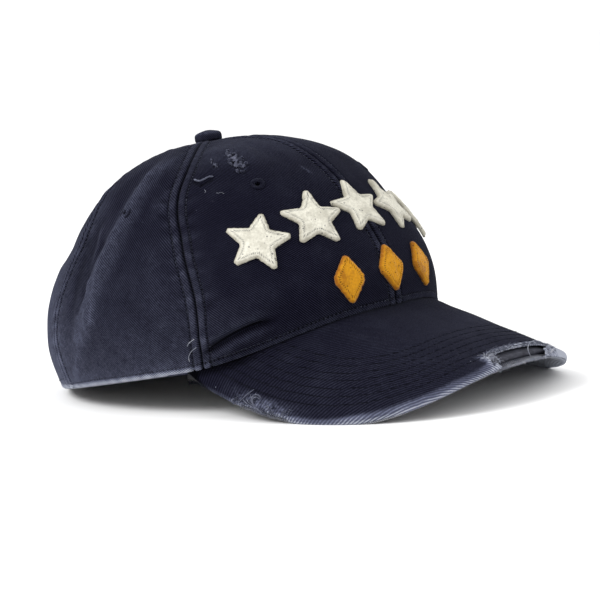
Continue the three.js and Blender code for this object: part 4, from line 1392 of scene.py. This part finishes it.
def crown_button():
    """The covered button: rings of a profile from its flat foot over a rounded rim to a low dome, the
    cloth gathered in small pleats where it turns in under the rim."""
    profile = np.array([[0.05, 0.0], [5.2, 0.02], [6.2, 0.12], [6.75, 0.55], [6.98, 1.3], [7.0, 2.2],
                        [6.92, 3.1], [6.62, 3.85], [6.1, 4.35], [5.3, 4.72], [4.2, 5.05], [2.8, 5.4],
                        [1.4, 5.68], [0.05, 5.8]])
    run = lengths(profile, 0)
    at = np.linspace(0, run[-1], BUTTON_RINGS)
    radius, height = (np.maximum(table_curve(run, profile[:, k])(at), 0) for k in (0, 1))
    height = np.maximum.accumulate(height + np.arange(BUTTON_RINGS) * 1e-4)
    angle = np.arange(BUTTON_SIDES) / BUTTON_SIDES * 2 * math.pi
    pleats = 0.16 * np.sin(17 * angle) * smooth(-height, -1.8, -0.2)[:, None]
    dents = 0.10 * ripple(angle * 7, 6.0, 31) * bell(height - 2.4, 2.0)[:, None]
    radius = np.maximum(radius[:, None] + (pleats + dents) * smooth(radius, 1, 4)[:, None], 0.04)
    x = radius * np.cos(angle)
    y = radius * np.sin(angle) + BUTTON_BACK
    z = np.broadcast_to(height[:, None], x.shape) + CROWN_HEIGHT + GAP
    points = np.stack([x, y, z], -1)
    quads = ring_quads(1, *points.shape[:2])
    weave = np.stack([x, height[:, None] - y, np.zeros_like(x)], -1).reshape(-1, 3)
    rim = 0.16 * bell(height - 4.2, 0.9) + 0.10
    fade_and_painted_light = np.broadcast_to(rim[:, None], x.shape).ravel()
    # painted shade at the button's foot, where it sits on the crown
    painted_shade = np.broadcast_to((0.6 * smooth(-height, -0.9, 0.0))[:, None], x.shape).ravel()
    values = {"weave": weave, "fade_and_painted_light": fade_and_painted_light, "painted_shade": painted_shade, "sewn": np.full((len(weave), 3), UNSEWN)}
    piece = make_piece("covered_button", points.reshape(-1, 3), quads, values, WASHED_TWILL, "washed_twill")
    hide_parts("crown_button")


EYELET_STITCHES = 38
EYELET_SIDES = 12


def eyelet(name, node, turn, height, seed):
    """A sewn eyelet: a ring whose round section swells at each of its radial stitches, their outer
    ends uneven."""
    centre, across, up, out = crown_seat(turn, height, 0.25)
    steps = EYELET_STITCHES * 6
    around = np.arange(steps) / steps * 2 * math.pi
    section = np.arange(EYELET_SIDES) / EYELET_SIDES * 2 * math.pi
    middle = (EYELET["outer"] + EYELET["hole"]) / 2
    half = (EYELET["outer"] - EYELET["hole"]) / 2
    stitch = 0.5 + 0.5 * np.cos(EYELET_STITCHES * around)
    uneven = ripple(np.round(around / (2 * math.pi) * EYELET_STITCHES), 2.3, seed)
    reach = half * (0.96 + 0.10 * uneven) + 0.12 * stitch
    thick = EYELET["height"] * 0.62 * (0.72 + 0.28 * stitch)
    radius = middle + reach[:, None] * np.cos(section)
    lift = thick[:, None] * np.sin(section)
    points = centre + across * (radius * np.cos(around)[:, None])[..., None]
    points = points + up * (radius * np.sin(around)[:, None])[..., None] + out * lift[..., None]
    quads = ring_quads(1, *points.shape[:2], closed=True)
    piece = make_piece(name, points.reshape(-1, 3), quads, {}, EYELET_THREAD, "eyelet_thread")
    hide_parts(node)


# ---------------------------------------------------------------- felt patches


def along_crown(centre_turn, centre_angle, across, up, lift):
    """Points of the crown reached from a centre by going round it and up it along the cloth."""
    tiny = 0.001
    centre_turn = np.array(float(centre_turn))

    def rise(angle):
        turn = np.broadcast_to(centre_turn, angle.shape)
        step = smooth_crown(turn, angle + tiny) - smooth_crown(turn, angle)
        return np.linalg.norm(step, axis=-1) / tiny

    start = np.broadcast_to(centre_angle, up.shape)
    halfway = start + up / 2 / rise(start)
    angle = start + up / rise(halfway)
    turn = np.broadcast_to(centre_turn, angle.shape)
    step = np.linalg.norm(smooth_crown(turn + 1, angle) - smooth_crown(turn, angle), axis=-1)
    return crown_point(centre_turn + across / step, angle, lift)


def star_corners():
    """A five-pointed star with blunt tips and a point on each flank."""
    corners = []
    for tip in range(5):
        angle = math.radians(90 + tip * 72)

        def ray(offset, radius):
            way = angle + math.radians(offset)
            return np.array([radius * math.cos(way), radius * math.sin(way)])

        flank = (ray(36, STAR["waist"]) + ray(4, STAR["outer"])) / 2
        before = (ray(-36, STAR["waist"]) + ray(-4, STAR["outer"])) / 2
        corners += [before, ray(-4, STAR["outer"]), ray(4, STAR["outer"]), flank, ray(36, STAR["waist"])]
    return np.array(corners)


def diamond_corners():
    """An upright diamond with blunt corners."""
    size = np.array([DIAMOND["half_width"], DIAMOND["half_height"]])
    tips = np.array([[1, 0], [0, 1], [-1, 0], [0, -1]]) * size
    blunt = 0.12
    before, after = np.roll(tips, 1, 0), np.roll(tips, -1, 0)
    return np.stack([mix(tips, before, blunt), mix(tips, after, blunt)], 1).reshape(-1, 2)


FELT_OUTLINE = 236  # points round a patch
FELT_STITCH = 1.45  # between the needle holes round a patch
FELT_HOLE_ROW = 1.9  # from a patch's edge to its needle holes
# A patch's top as rings of its outline: their shares of its size
FELT_SCALES = np.concatenate([np.linspace(0.02, 0.62, 13), np.linspace(0.66, 0.97, 15), [0.985, 0.995]])
# Its rim as rings: their shares of the felt's thickness, and how far they bulge
FELT_SIDE = np.array([0.50, 0.36, 0.2, 0.08])
FELT_SWELL = np.array([1.012, 1.02, 1.012, 1.0])


def rounded(corners, width):
    """A closed outline evenly spaced along the corners' sides, its corners softened by averaging each
    point with its neighbours under a bell of that width."""
    closed = np.concatenate([corners, corners[:1]])
    run = lengths(closed, 0)
    at = np.arange(FELT_OUTLINE) / FELT_OUTLINE * run[-1]
    outline = rows_at(at, run, closed)
    step = run[-1] / FELT_OUTLINE
    offsets = np.arange(-12, 13)
    weights = bell(offsets * step, width)
    moved = sum(w * np.roll(outline, -k, 0) for k, w in zip(offsets, weights))
    return moved / weights.sum(), at


def felt_patch(name, node, corners, row, place, material, slot, seed):
    """A patch of thick felt laid on the crown: a flat top that rounds down to a softly frayed edge,
    lumpy, with a row of needle holes a little inside the edge."""
    turn = (place - (row["count"] - 1) / 2) * row["pitch"]
    height = row["middle"] - row["fall"] * turn * turn
    angle = angle_at(np.array(float(turn)), np.array(float(height)))
    lean = math.radians(row["lean"] * turn)
    outline, run = rounded(corners, 0.75)
    wander = 0.16 * ripple(run, 2.6, seed) + 0.10 * ripple(run, 0.9, seed + 1)
    outline = outline + unit(outline) * wander[:, None]
    spin = np.array([[math.cos(lean), -math.sin(lean)], [math.sin(lean), math.cos(lean)]])
    outline = outline @ spin.T
    top = FELT_SCALES[:, None, None] * outline
    away = np.stack([np.linalg.norm(ring[:, None] - outline, axis=-1).min(1) for ring in top])
    level = np.concatenate([top, np.zeros_like(top[..., :1])], -1)
    lumps = rumple(level, 4.5, seed + 2)
    fine = rumple(level, 1.5, seed + 3)
    at_hole = np.maximum(np.cos(2 * math.pi * run / FELT_STITCH), 0) ** 1.5
    needle = bell(away - FELT_HOLE_ROW, 0.40) * at_hole * 0.9
    top_lift = FELT * (1 - 0.42 * bell(away, 0.75)) + 0.16 * lumps + 0.09 * fine - 0.5 * needle
    side = FELT_SWELL[:, None, None] * outline
    underside = top[::-3]
    flat = np.concatenate([top, side, underside])
    side_lift = np.repeat(FELT_SIDE[:, None] * FELT, FELT_OUTLINE, axis=1)
    under_lift = np.full(underside.shape[:2], 0.02)
    lift = np.concatenate([top_lift, side_lift, under_lift]) + GAP * 0.6
    points = along_crown(turn, angle, flat[..., 0], flat[..., 1], lift)
    quads = ring_quads(1, *points.shape[:2])
    # painted shade in the needle holes
    depth = np.concatenate([needle * 1.4, np.zeros((len(flat) - len(top), FELT_OUTLINE))])
    # grime and painted edge shade round the rim and on the side walls and underside
    grime_and_edge_shade = np.concatenate([0.95 * bell(away, 0.8), np.full((len(flat) - len(top), FELT_OUTLINE), 0.9)])
    values = {"fade_and_painted_light": grime_and_edge_shade.ravel(), "painted_shade": np.clip(depth, 0, 1).ravel()}
    piece = make_piece(name, points.reshape(-1, 3), quads, values, material, slot)
    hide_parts(node)


# ---------------------------------------------------------------- pills, frays and strands


def rounded_ends(steps, blunt=3):
    """Radius shares along a thread that closes to a round tip at both ends."""
    t = np.abs(np.linspace(-1, 1, steps))
    return np.maximum((1 - t ** (2 * blunt)) ** 0.5, 0.12)


PILL_STEPS = 9


def pills(turns, heights, seed, length, radius):
    """Little rolls of worn cloth: short fat threads lying any way on the crown, their middles raised."""
    draw = np.random.default_rng(seed)
    count = len(turns)
    place, across, up, out = crown_seat(turns, heights, np.full(count, 0.35))
    way = draw.uniform(0, 2 * math.pi, (count, 1))
    along = across * np.cos(way) + up * np.sin(way)
    aside = up * np.cos(way) - across * np.sin(way)
    t = np.linspace(-1, 1, PILL_STEPS)[None, :, None]
    long = length * draw.uniform(0.6, 1.25, (count, 1, 1)) / 2
    bend = draw.normal(0, 0.35, (count, 1, 1))
    rise = draw.uniform(0.2, 0.7, (count, 1, 1))
    paths = place[:, None] + along[:, None] * (t * long) + aside[:, None] * (bend * long * (1 - t * t))
    paths = paths + out[:, None] * (rise * (1 - t * t) - 0.3 * t * t)
    thick = radius * draw.uniform(0.7, 1.2, (count, 1)) * rounded_ends(PILL_STEPS, 1)
    return tubes(paths, thick, sides=8)


def strand(points, radius, steps=36):
    """One thread drawn as a smooth path through points, with round tips."""
    path = spline(points, steps)
    return tubes(path[None], radius * rounded_ends(steps, 8)[None], sides=6)


def on_crown(places):
    """Points of the crown from rows of turn, height and lift."""
    turn, height, lift = np.array(places, float).T
    return crown_seat(turn, height, lift)[0]


def on_visor(places):
    """Points over the visor from rows of x, y and height over the cover."""
    x, y, lift = np.array(places, float).T
    return visor_point(x, y, GAP - lift)


def front_place(x, inset):
    """A plan place by x along the visor's front and the inset from its edge."""
    shares = np.linspace(-0.7, 0.7, 400)
    edge = visor_edge(shares)
    root = visor_root(shares * VISOR["half_turn"])
    inward = unit(root - edge)
    order = np.argsort(edge[:, 0])
    edge, inward = edge[order], inward[order]
    return rows_at(x, edge[:, 0], edge) + rows_at(x, edge[:, 0], inward) * np.asarray(inset)[..., None]


def frayed(plan, lift, way, seed, length, radius, curl=0.45, rise=0.8):
    """Fibres that start at plan places over the visor and run along plan directions."""
    draw = np.random.default_rng(seed)
    start = visor_point(plan[:, 0], plan[:, 1], GAP - lift)
    turn = draw.normal(0, 0.7, len(plan))
    spun = np.stack([way[:, 0] * np.cos(turn) - way[:, 1] * np.sin(turn),
                     way[:, 0] * np.sin(turn) + way[:, 1] * np.cos(turn)], -1)
    ahead = unit(visor_point(*(plan + spun * 0.5).T, GAP - lift) - start)
    out = np.broadcast_to((0.0, 0.0, 1.0), start.shape)
    return loose_threads(start, ahead, out, seed + 1, length, radius, curl, rise)


# Single threads on the crown: the radius, then turn, height and lift at points of the route
LIFTED_SCRATCH = (
    (0.5, ((56.8, 93.3, 0.1), (55.4, 92.3, 0.4), (54.2, 92.0, 0.35))),
    (0.42, ((54.6, 91.9, 0.3), (52.2, 92.5, 0.5), (50.4, 93.1, 0.5), (48.6, 93.0, 0.1))),
)
SEAM_THREADS = (
    (0.12, ((52.9, 87.6, 0.2), (52.4, 86.6, 0.5), (52.8, 86.0, 0.3))),
    (0.09, ((48.7, 85.3, 0.1), (47.9, 84.7, 0.5), (46.9, 84.9, 0.5), (45.9, 84.2, 0.1))),
    (0.17, ((63.8, 17.0, 0.2), (63.1, 18.4, 0.8), (61.7, 19.8, 0.9), (60.3, 20.6, 0.1))),
    (0.17, ((64.2, 9.6, 0.2), (64.0, 12.0, 0.8), (62.8, 14.6, 1.0), (60.9, 16.4, 0.1))),
    (0.15, ((-61.0, 12.0, 0.2), (-62.4, 14.5, 0.9), (-63.1, 17.2, 0.1))),
)


def crown_frays():
    """The crown's pills, lifted scratch, hooked ends and the seam's loose threads."""
    draw = np.random.default_rng(700)
    count = 44
    share = draw.uniform(0, 1, count)
    turns = mix(39.5, 35.6, share) + draw.normal(0, 1.15, count)
    heights = mix(101.6, 93.8, share) + draw.normal(0, 0.75, count)
    rolls = [pills(turns, heights, 701, 2.4, 0.70)]
    count = 9
    share = draw.uniform(0, 1, count)
    turns = mix(48.2, 46.4, share) + draw.normal(0, 0.5, count)
    rolls.append(pills(turns, mix(100.4, 96.4, share), 703, 1.8, 0.42))
    make_piece("worn_pills", *joined(rolls), {}, WORN_CLOTH, "washed_twill")
    scratch = [strand(on_crown(places), radius) for radius, places in LIFTED_SCRATCH]
    make_piece("lifted_scratch", *joined(scratch), {}, GREY_THREAD, "washed_twill")
    pale = [strand(on_crown(places), radius) for radius, places in SEAM_THREADS]
    make_piece("loose_seam_threads", *joined(pale), {}, PALE_THREAD, "eyelet_thread")


# Long threads at the nick: the radius, then x, y and height over the cover at points of the route
NICK_THREADS = (
    (0.24, ((-78.4, -79.4, 0.3), (-80.2, -77.9, 0.8), (-81.8, -76.5, 0.9), (-84.6, -73.6, 0.2))),
    (0.34, ((-80.2, -84.6, 0.2), (-79.7, -82.6, 0.9), (-80.4, -80.7, 1.0), (-82.0, -80.2, 0.9),
            (-83.2, -82.6, 0.7), (-84.0, -86.0, 0.2), (-84.0, -88.6, -0.6))),
    (0.3, ((-80.6, -84.0, 0.1), (-80.5, -82.2, 0.8), (-81.3, -81.0, 0.9), (-82.5, -81.2, 0.8),
           (-83.5, -83.6, 0.5), (-84.1, -86.8, -0.2), (-83.9, -89.4, -0.8))),
    (0.26, ((-83.0, -75.6, 0.3), (-83.6, -78.2, 0.6), (-83.9, -81.2, 0.4), (-84.3, -85.2, -0.4),
            (-84.2, -87.6, -1.0))),
    (0.22, ((-82.4, -77.4, 0.3), (-83.2, -79.6, 0.7), (-83.4, -82.4, 0.6), (-83.9, -85.6, 0.0))),
    (0.16, ((-79.2, -80.8, 0.1), (-80.6, -80.6, 0.6), (-81.4, -79.4, 0.5), (-80.4, -78.4, 0.3))),
    (0.2, ((-82.2, -88.2, 0.3), (-81.4, -89.4, 0.8), (-82.3, -90.2, 0.9), (-83.3, -89.2, 0.6),
           (-83.6, -90.8, 0.0))),
    (0.2, ((-81.9, -91.2, 0.3), (-82.6, -92.8, 0.6), (-83.4, -94.2, 0.2))),
    (0.42, ((-83.9, -71.2, 0.3), (-84.7, -70.2, 0.4), (-85.2, -71.2, -0.4), (-84.6, -72.0, -0.9))),
)


def nick_frays():
    """The frayed place at the visor's side edge: long bared threads over a torn rim."""
    grey = [strand(on_visor(places), radius) for radius, places in NICK_THREADS]
    draw = np.random.default_rng(720)
    count = 130
    y = draw.uniform(*NICK_FRINGE, count)
    edge_x = -np.interp(-y, *side_rim())
    plan = np.stack([edge_x + np.abs(draw.normal(0.6, 1.3, count)), y], -1)
    way = unit(np.stack([-draw.uniform(0.2, 1.2, count), -draw.uniform(-0.4, 1.4, count)], -1))
    fine = frayed(plan, np.full(count, 0.1), way, 722, 2.4, 0.09, 0.7, 0.7)
    make_piece("nick_frays", *joined(grey), {}, GREY_THREAD, "eyelet_thread")
    make_piece("nick_fuzz", *fine, {}, GREY_THREAD, "eyelet_thread")


def side_rim():
    """The visor's side edge: distances forward and how far out the edge is there, in order."""
    shares = np.linspace(0.6, VISOR_END, 300)
    edge = visor_edge(shares)
    forward = -edge[:, 1]
    order = np.argsort(forward)
    return forward[order], np.abs(edge[:, 0])[order]


# Threads at the tear: x, inset from the visor's edge and height over the cover along the route
TEAR_ARCH = (
    (7.0, -0.2, -1.2),
    (7.4, 1.8, 1.0),
    (10.5, 3.8, 2.6),
    (17.5, 5.6, 3.0),
    (26.0, 6.6, 1.8),
    (30.5, 6.4, 0.6),
)
TEAR_CURLS = (
    ((-17.2, 7.2, 0.3), (-15.0, 8.6, 1.2), (-12.6, 8.4, 1.0), (-13.4, 6.6, 0.6)),
    ((-18.0, 5.0, 0.4), (-15.6, 6.4, 1.2), (-13.6, 5.6, 0.9), (-13.0, 3.8, 0.2)),
    ((-17.6, 2.6, 0.4), (-15.4, 4.0, 1.2), (-14.2, 2.4, 0.6), (-14.8, 0.6, -0.4)),
    ((31.4, 1.2, 0.3), (31.8, 3.6, 0.9), (31.2, 6.4, 0.9), (28.8, 8.6, 0.5)),
    ((30.4, 0.6, 0.2), (30.8, 3.8, 1.0), (29.8, 6.8, 0.9), (27.0, 8.2, 0.5)),
)


def front_strand(places, radius, steps=36):
    """A thread at the visor's front edge, from rows of x, inset and height over the cover."""
    x, inset, lift = np.array(places, float).T
    plan = front_place(x, inset)
    return strand(visor_point(plan[:, 0], plan[:, 1], GAP - lift), radius, steps)


def tear_frays():
    """Fibres round the torn slot: a fringe off its far side, curled ends at both ends, a rolled rim
    round its right end, a ragged fringe under the missing lip, and one thread that arches over it."""
    draw = np.random.default_rng(740)
    count = 260
    x = draw.uniform(*FAR_FRINGE, count)
    far = slot_sides(x)[1]
    inset = far + draw.uniform(-0.3, 3.6, count)
    plan = front_place(x, inset)
    way = np.stack([draw.normal(0, 0.7, count), -np.ones(count)], -1)
    fringe = frayed(plan, np.full(count, 0.5), unit(way), 742, 1.7, 0.085, 0.8, 0.7)
    x = np.concatenate([draw.normal(-15.5, 1.4, 40), draw.normal(29.5, 1.0, 30)])
    count = len(x)
    plan = front_place(x, draw.uniform(1.0, 8.0, count))
    way = np.stack([draw.normal(0, 1, count), draw.normal(0.3, 1, count)], -1)
    ends = frayed(plan, np.full(count, 0.3), unit(way), 744, 2.0, 0.12, 0.9, 0.9)
    count = 170
    x = draw.uniform(*LIP_FRINGE, count)
    plan = front_place(x, draw.uniform(-0.9, 0.4, count))
    way = np.stack([draw.normal(0, 1.0, count), -np.ones(count)], -1)
    low = frayed(plan, np.full(count, -2.6), unit(way), 746, 1.5, 0.09, 0.8, -0.6)
    make_piece("tear_fringe", *fringe, {}, GREY_THREAD, "eyelet_thread")
    arches = [front_strand(TEAR_ARCH, 0.2, 48)]
    arches += [front_strand(places, 0.24) for places in TEAR_CURLS]
    turned = np.radians(np.linspace(100, -115, 14))
    lifted = 0.7 - 1.7 * smooth(-turned, 1.0, 2.0)
    rim = np.stack([24.3 + 6.5 * np.cos(turned), 4.1 + 4.2 * np.sin(turned), lifted], -1)
    arches.append(front_strand(rim, 0.55, 60))
    make_piece("tear_curls", *joined([ends, low] + arches), {}, PALE_THREAD, "eyelet_thread")


# ---------------------------------------------------------------- putting it together

thread_parts = []
for number, (place, seams, keys) in enumerate(PANELS):
    kind = place.split("_")[0]
    seam_rows, hem_row = panel(f"cloth_{place}", f"crown_{place}", kind, seams, keys)
    for side, (path, out) in enumerate(seam_rows):
        thread_parts.append(stitches(path, out, 100 + 10 * number + side))
    thread_parts.append(stitches(*hem_row, 190 + number, radius=THREAD * 0.85))
    eyelet_turn, eyelet_height = EYELET_PLACES[kind]
    signed = eyelet_turn if place.endswith("right") else -eyelet_turn
    eyelet(f"sewn_{kind}_{place.split('_')[1]}", f"eyelet_{place}", signed, eyelet_height, 300 + number)
make_piece("crown_stitching", *joined(thread_parts), {}, NAVY_THREAD, "eyelet_thread")

top = visor_cover("cloth_visor_top", "visor_top_cover", False, VISOR_TWILL, "washed_twill")
under = visor_cover("cloth_visor_under", "visor_under_cover", True, VISOR_LINING, "visor_lining")
visor_board()
visor_threads = []
for cover, seed, radius, lift in ((top, 400, 0.16, 0.06), (under, 420, 0.17, 0.03)):
    for number, (path, out) in enumerate(visor_row_paths(*cover)):
        visor_threads.append(stitches(path, out, seed + number, radius=radius, lift=lift))
make_piece("visor_stitching", *joined(visor_threads), {}, VISOR_THREAD, "eyelet_thread")

band_path, band_out = sweatband()
make_piece("band_stitching", *stitches(band_path, band_out, 440), {}, NAVY_THREAD, "eyelet_thread")
crown_button()
crown_frays()
nick_frays()
tear_frays()

PATCHES = (
    ("star", STAR, star_corners(), "white", WHITE_FELT, 500),
    ("diamond", DIAMOND, diamond_corners(), "gold", GOLD_FELT, 600),
)
for kind, row, corners, colour, felt, seed in PATCHES:
    for place in range(row["count"]):
        felt_patch(f"{colour}_{kind}_{place + 1}", f"felt_{kind}_{place + 1}", corners, row, place,
                   felt, f"{colour}_felt", seed + 10 * place)

# ---------------------------------------------------------------- floor, light and camera

CAMERA = {"azimuth": -46.70, "elevation": 7.72, "roll": -4.97, "distance": 1.0674, "lens": 125.2}
AIM = Vector((0.0222, 0.0148, 0.0379))
ROOM_LIGHT = 1.12
FLOOR_RADIUS = 9.0  # in metres
FLOOR_SIDES = 96


def stage_floor():
    """A round pale floor, wide enough that its edge is far off."""
    angle = np.arange(FLOOR_SIDES) / FLOOR_SIDES * 2 * math.pi
    ring = np.stack([np.cos(angle), np.sin(angle), np.zeros(FLOOR_SIDES)], -1) * FLOOR_RADIUS
    mesh = bpy.data.meshes.new("pale_floor")
    mesh.from_pydata([tuple(point) for point in ring], [], [tuple(range(FLOOR_SIDES))])
    mesh.materials.append(floor_finish())
    floor = bpy.data.objects.new("pale_floor", mesh)
    bpy.context.scene.collection.objects.link(floor)


def soft_light(name, place, size, power):
    """A square soft white light that faces the cap."""
    lamp = bpy.data.lights.new(name, "AREA")
    lamp.size = size
    lamp.energy = power
    light = bpy.data.objects.new(name, lamp)
    light.location = place
    light.rotation_euler = (AIM - Vector(place)).to_track_quat("-Z", "Y").to_euler()
    bpy.context.scene.collection.objects.link(light)


def stage_camera():
    """The camera looks at AIM from its azimuth and elevation, rolled about its own line of sight."""
    azimuth, elevation = math.radians(CAMERA["azimuth"]), math.radians(CAMERA["elevation"])
    back = Vector((math.sin(azimuth) * math.cos(elevation), -math.cos(azimuth) * math.cos(elevation),
                   math.sin(elevation)))
    level = Vector((math.cos(azimuth), math.sin(azimuth), 0))
    turned = Matrix.Rotation(math.radians(CAMERA["roll"]), 3, back)
    right_way = turned @ level
    up_way = back.cross(right_way)
    pose = Matrix((right_way, up_way, back)).transposed().to_4x4()
    pose.translation = AIM + back * CAMERA["distance"]
    lens = bpy.data.cameras.new("view")
    lens.lens = CAMERA["lens"]
    lens.clip_end = 60
    camera = bpy.data.objects.new("view", lens)
    camera.matrix_world = pose
    bpy.context.scene.collection.objects.link(camera)
    bpy.context.scene.camera = camera


world = bpy.data.worlds.new("pale room")
world.use_nodes = True
world.node_tree.nodes["Background"].inputs["Color"].default_value = (1.0, 1.0, 1.0, 1)
world.node_tree.nodes["Background"].inputs["Strength"].default_value = ROOM_LIGHT
bpy.context.scene.world = world
bpy.context.scene.view_settings.view_transform = "Standard"
stage_floor()
soft_light("top_left_soft", (-1.5, 0.8, 1.6), 1.0, 34)
soft_light("front_soft", (-0.2, -1.9, 1.1), 1.4, 5)
stage_camera()
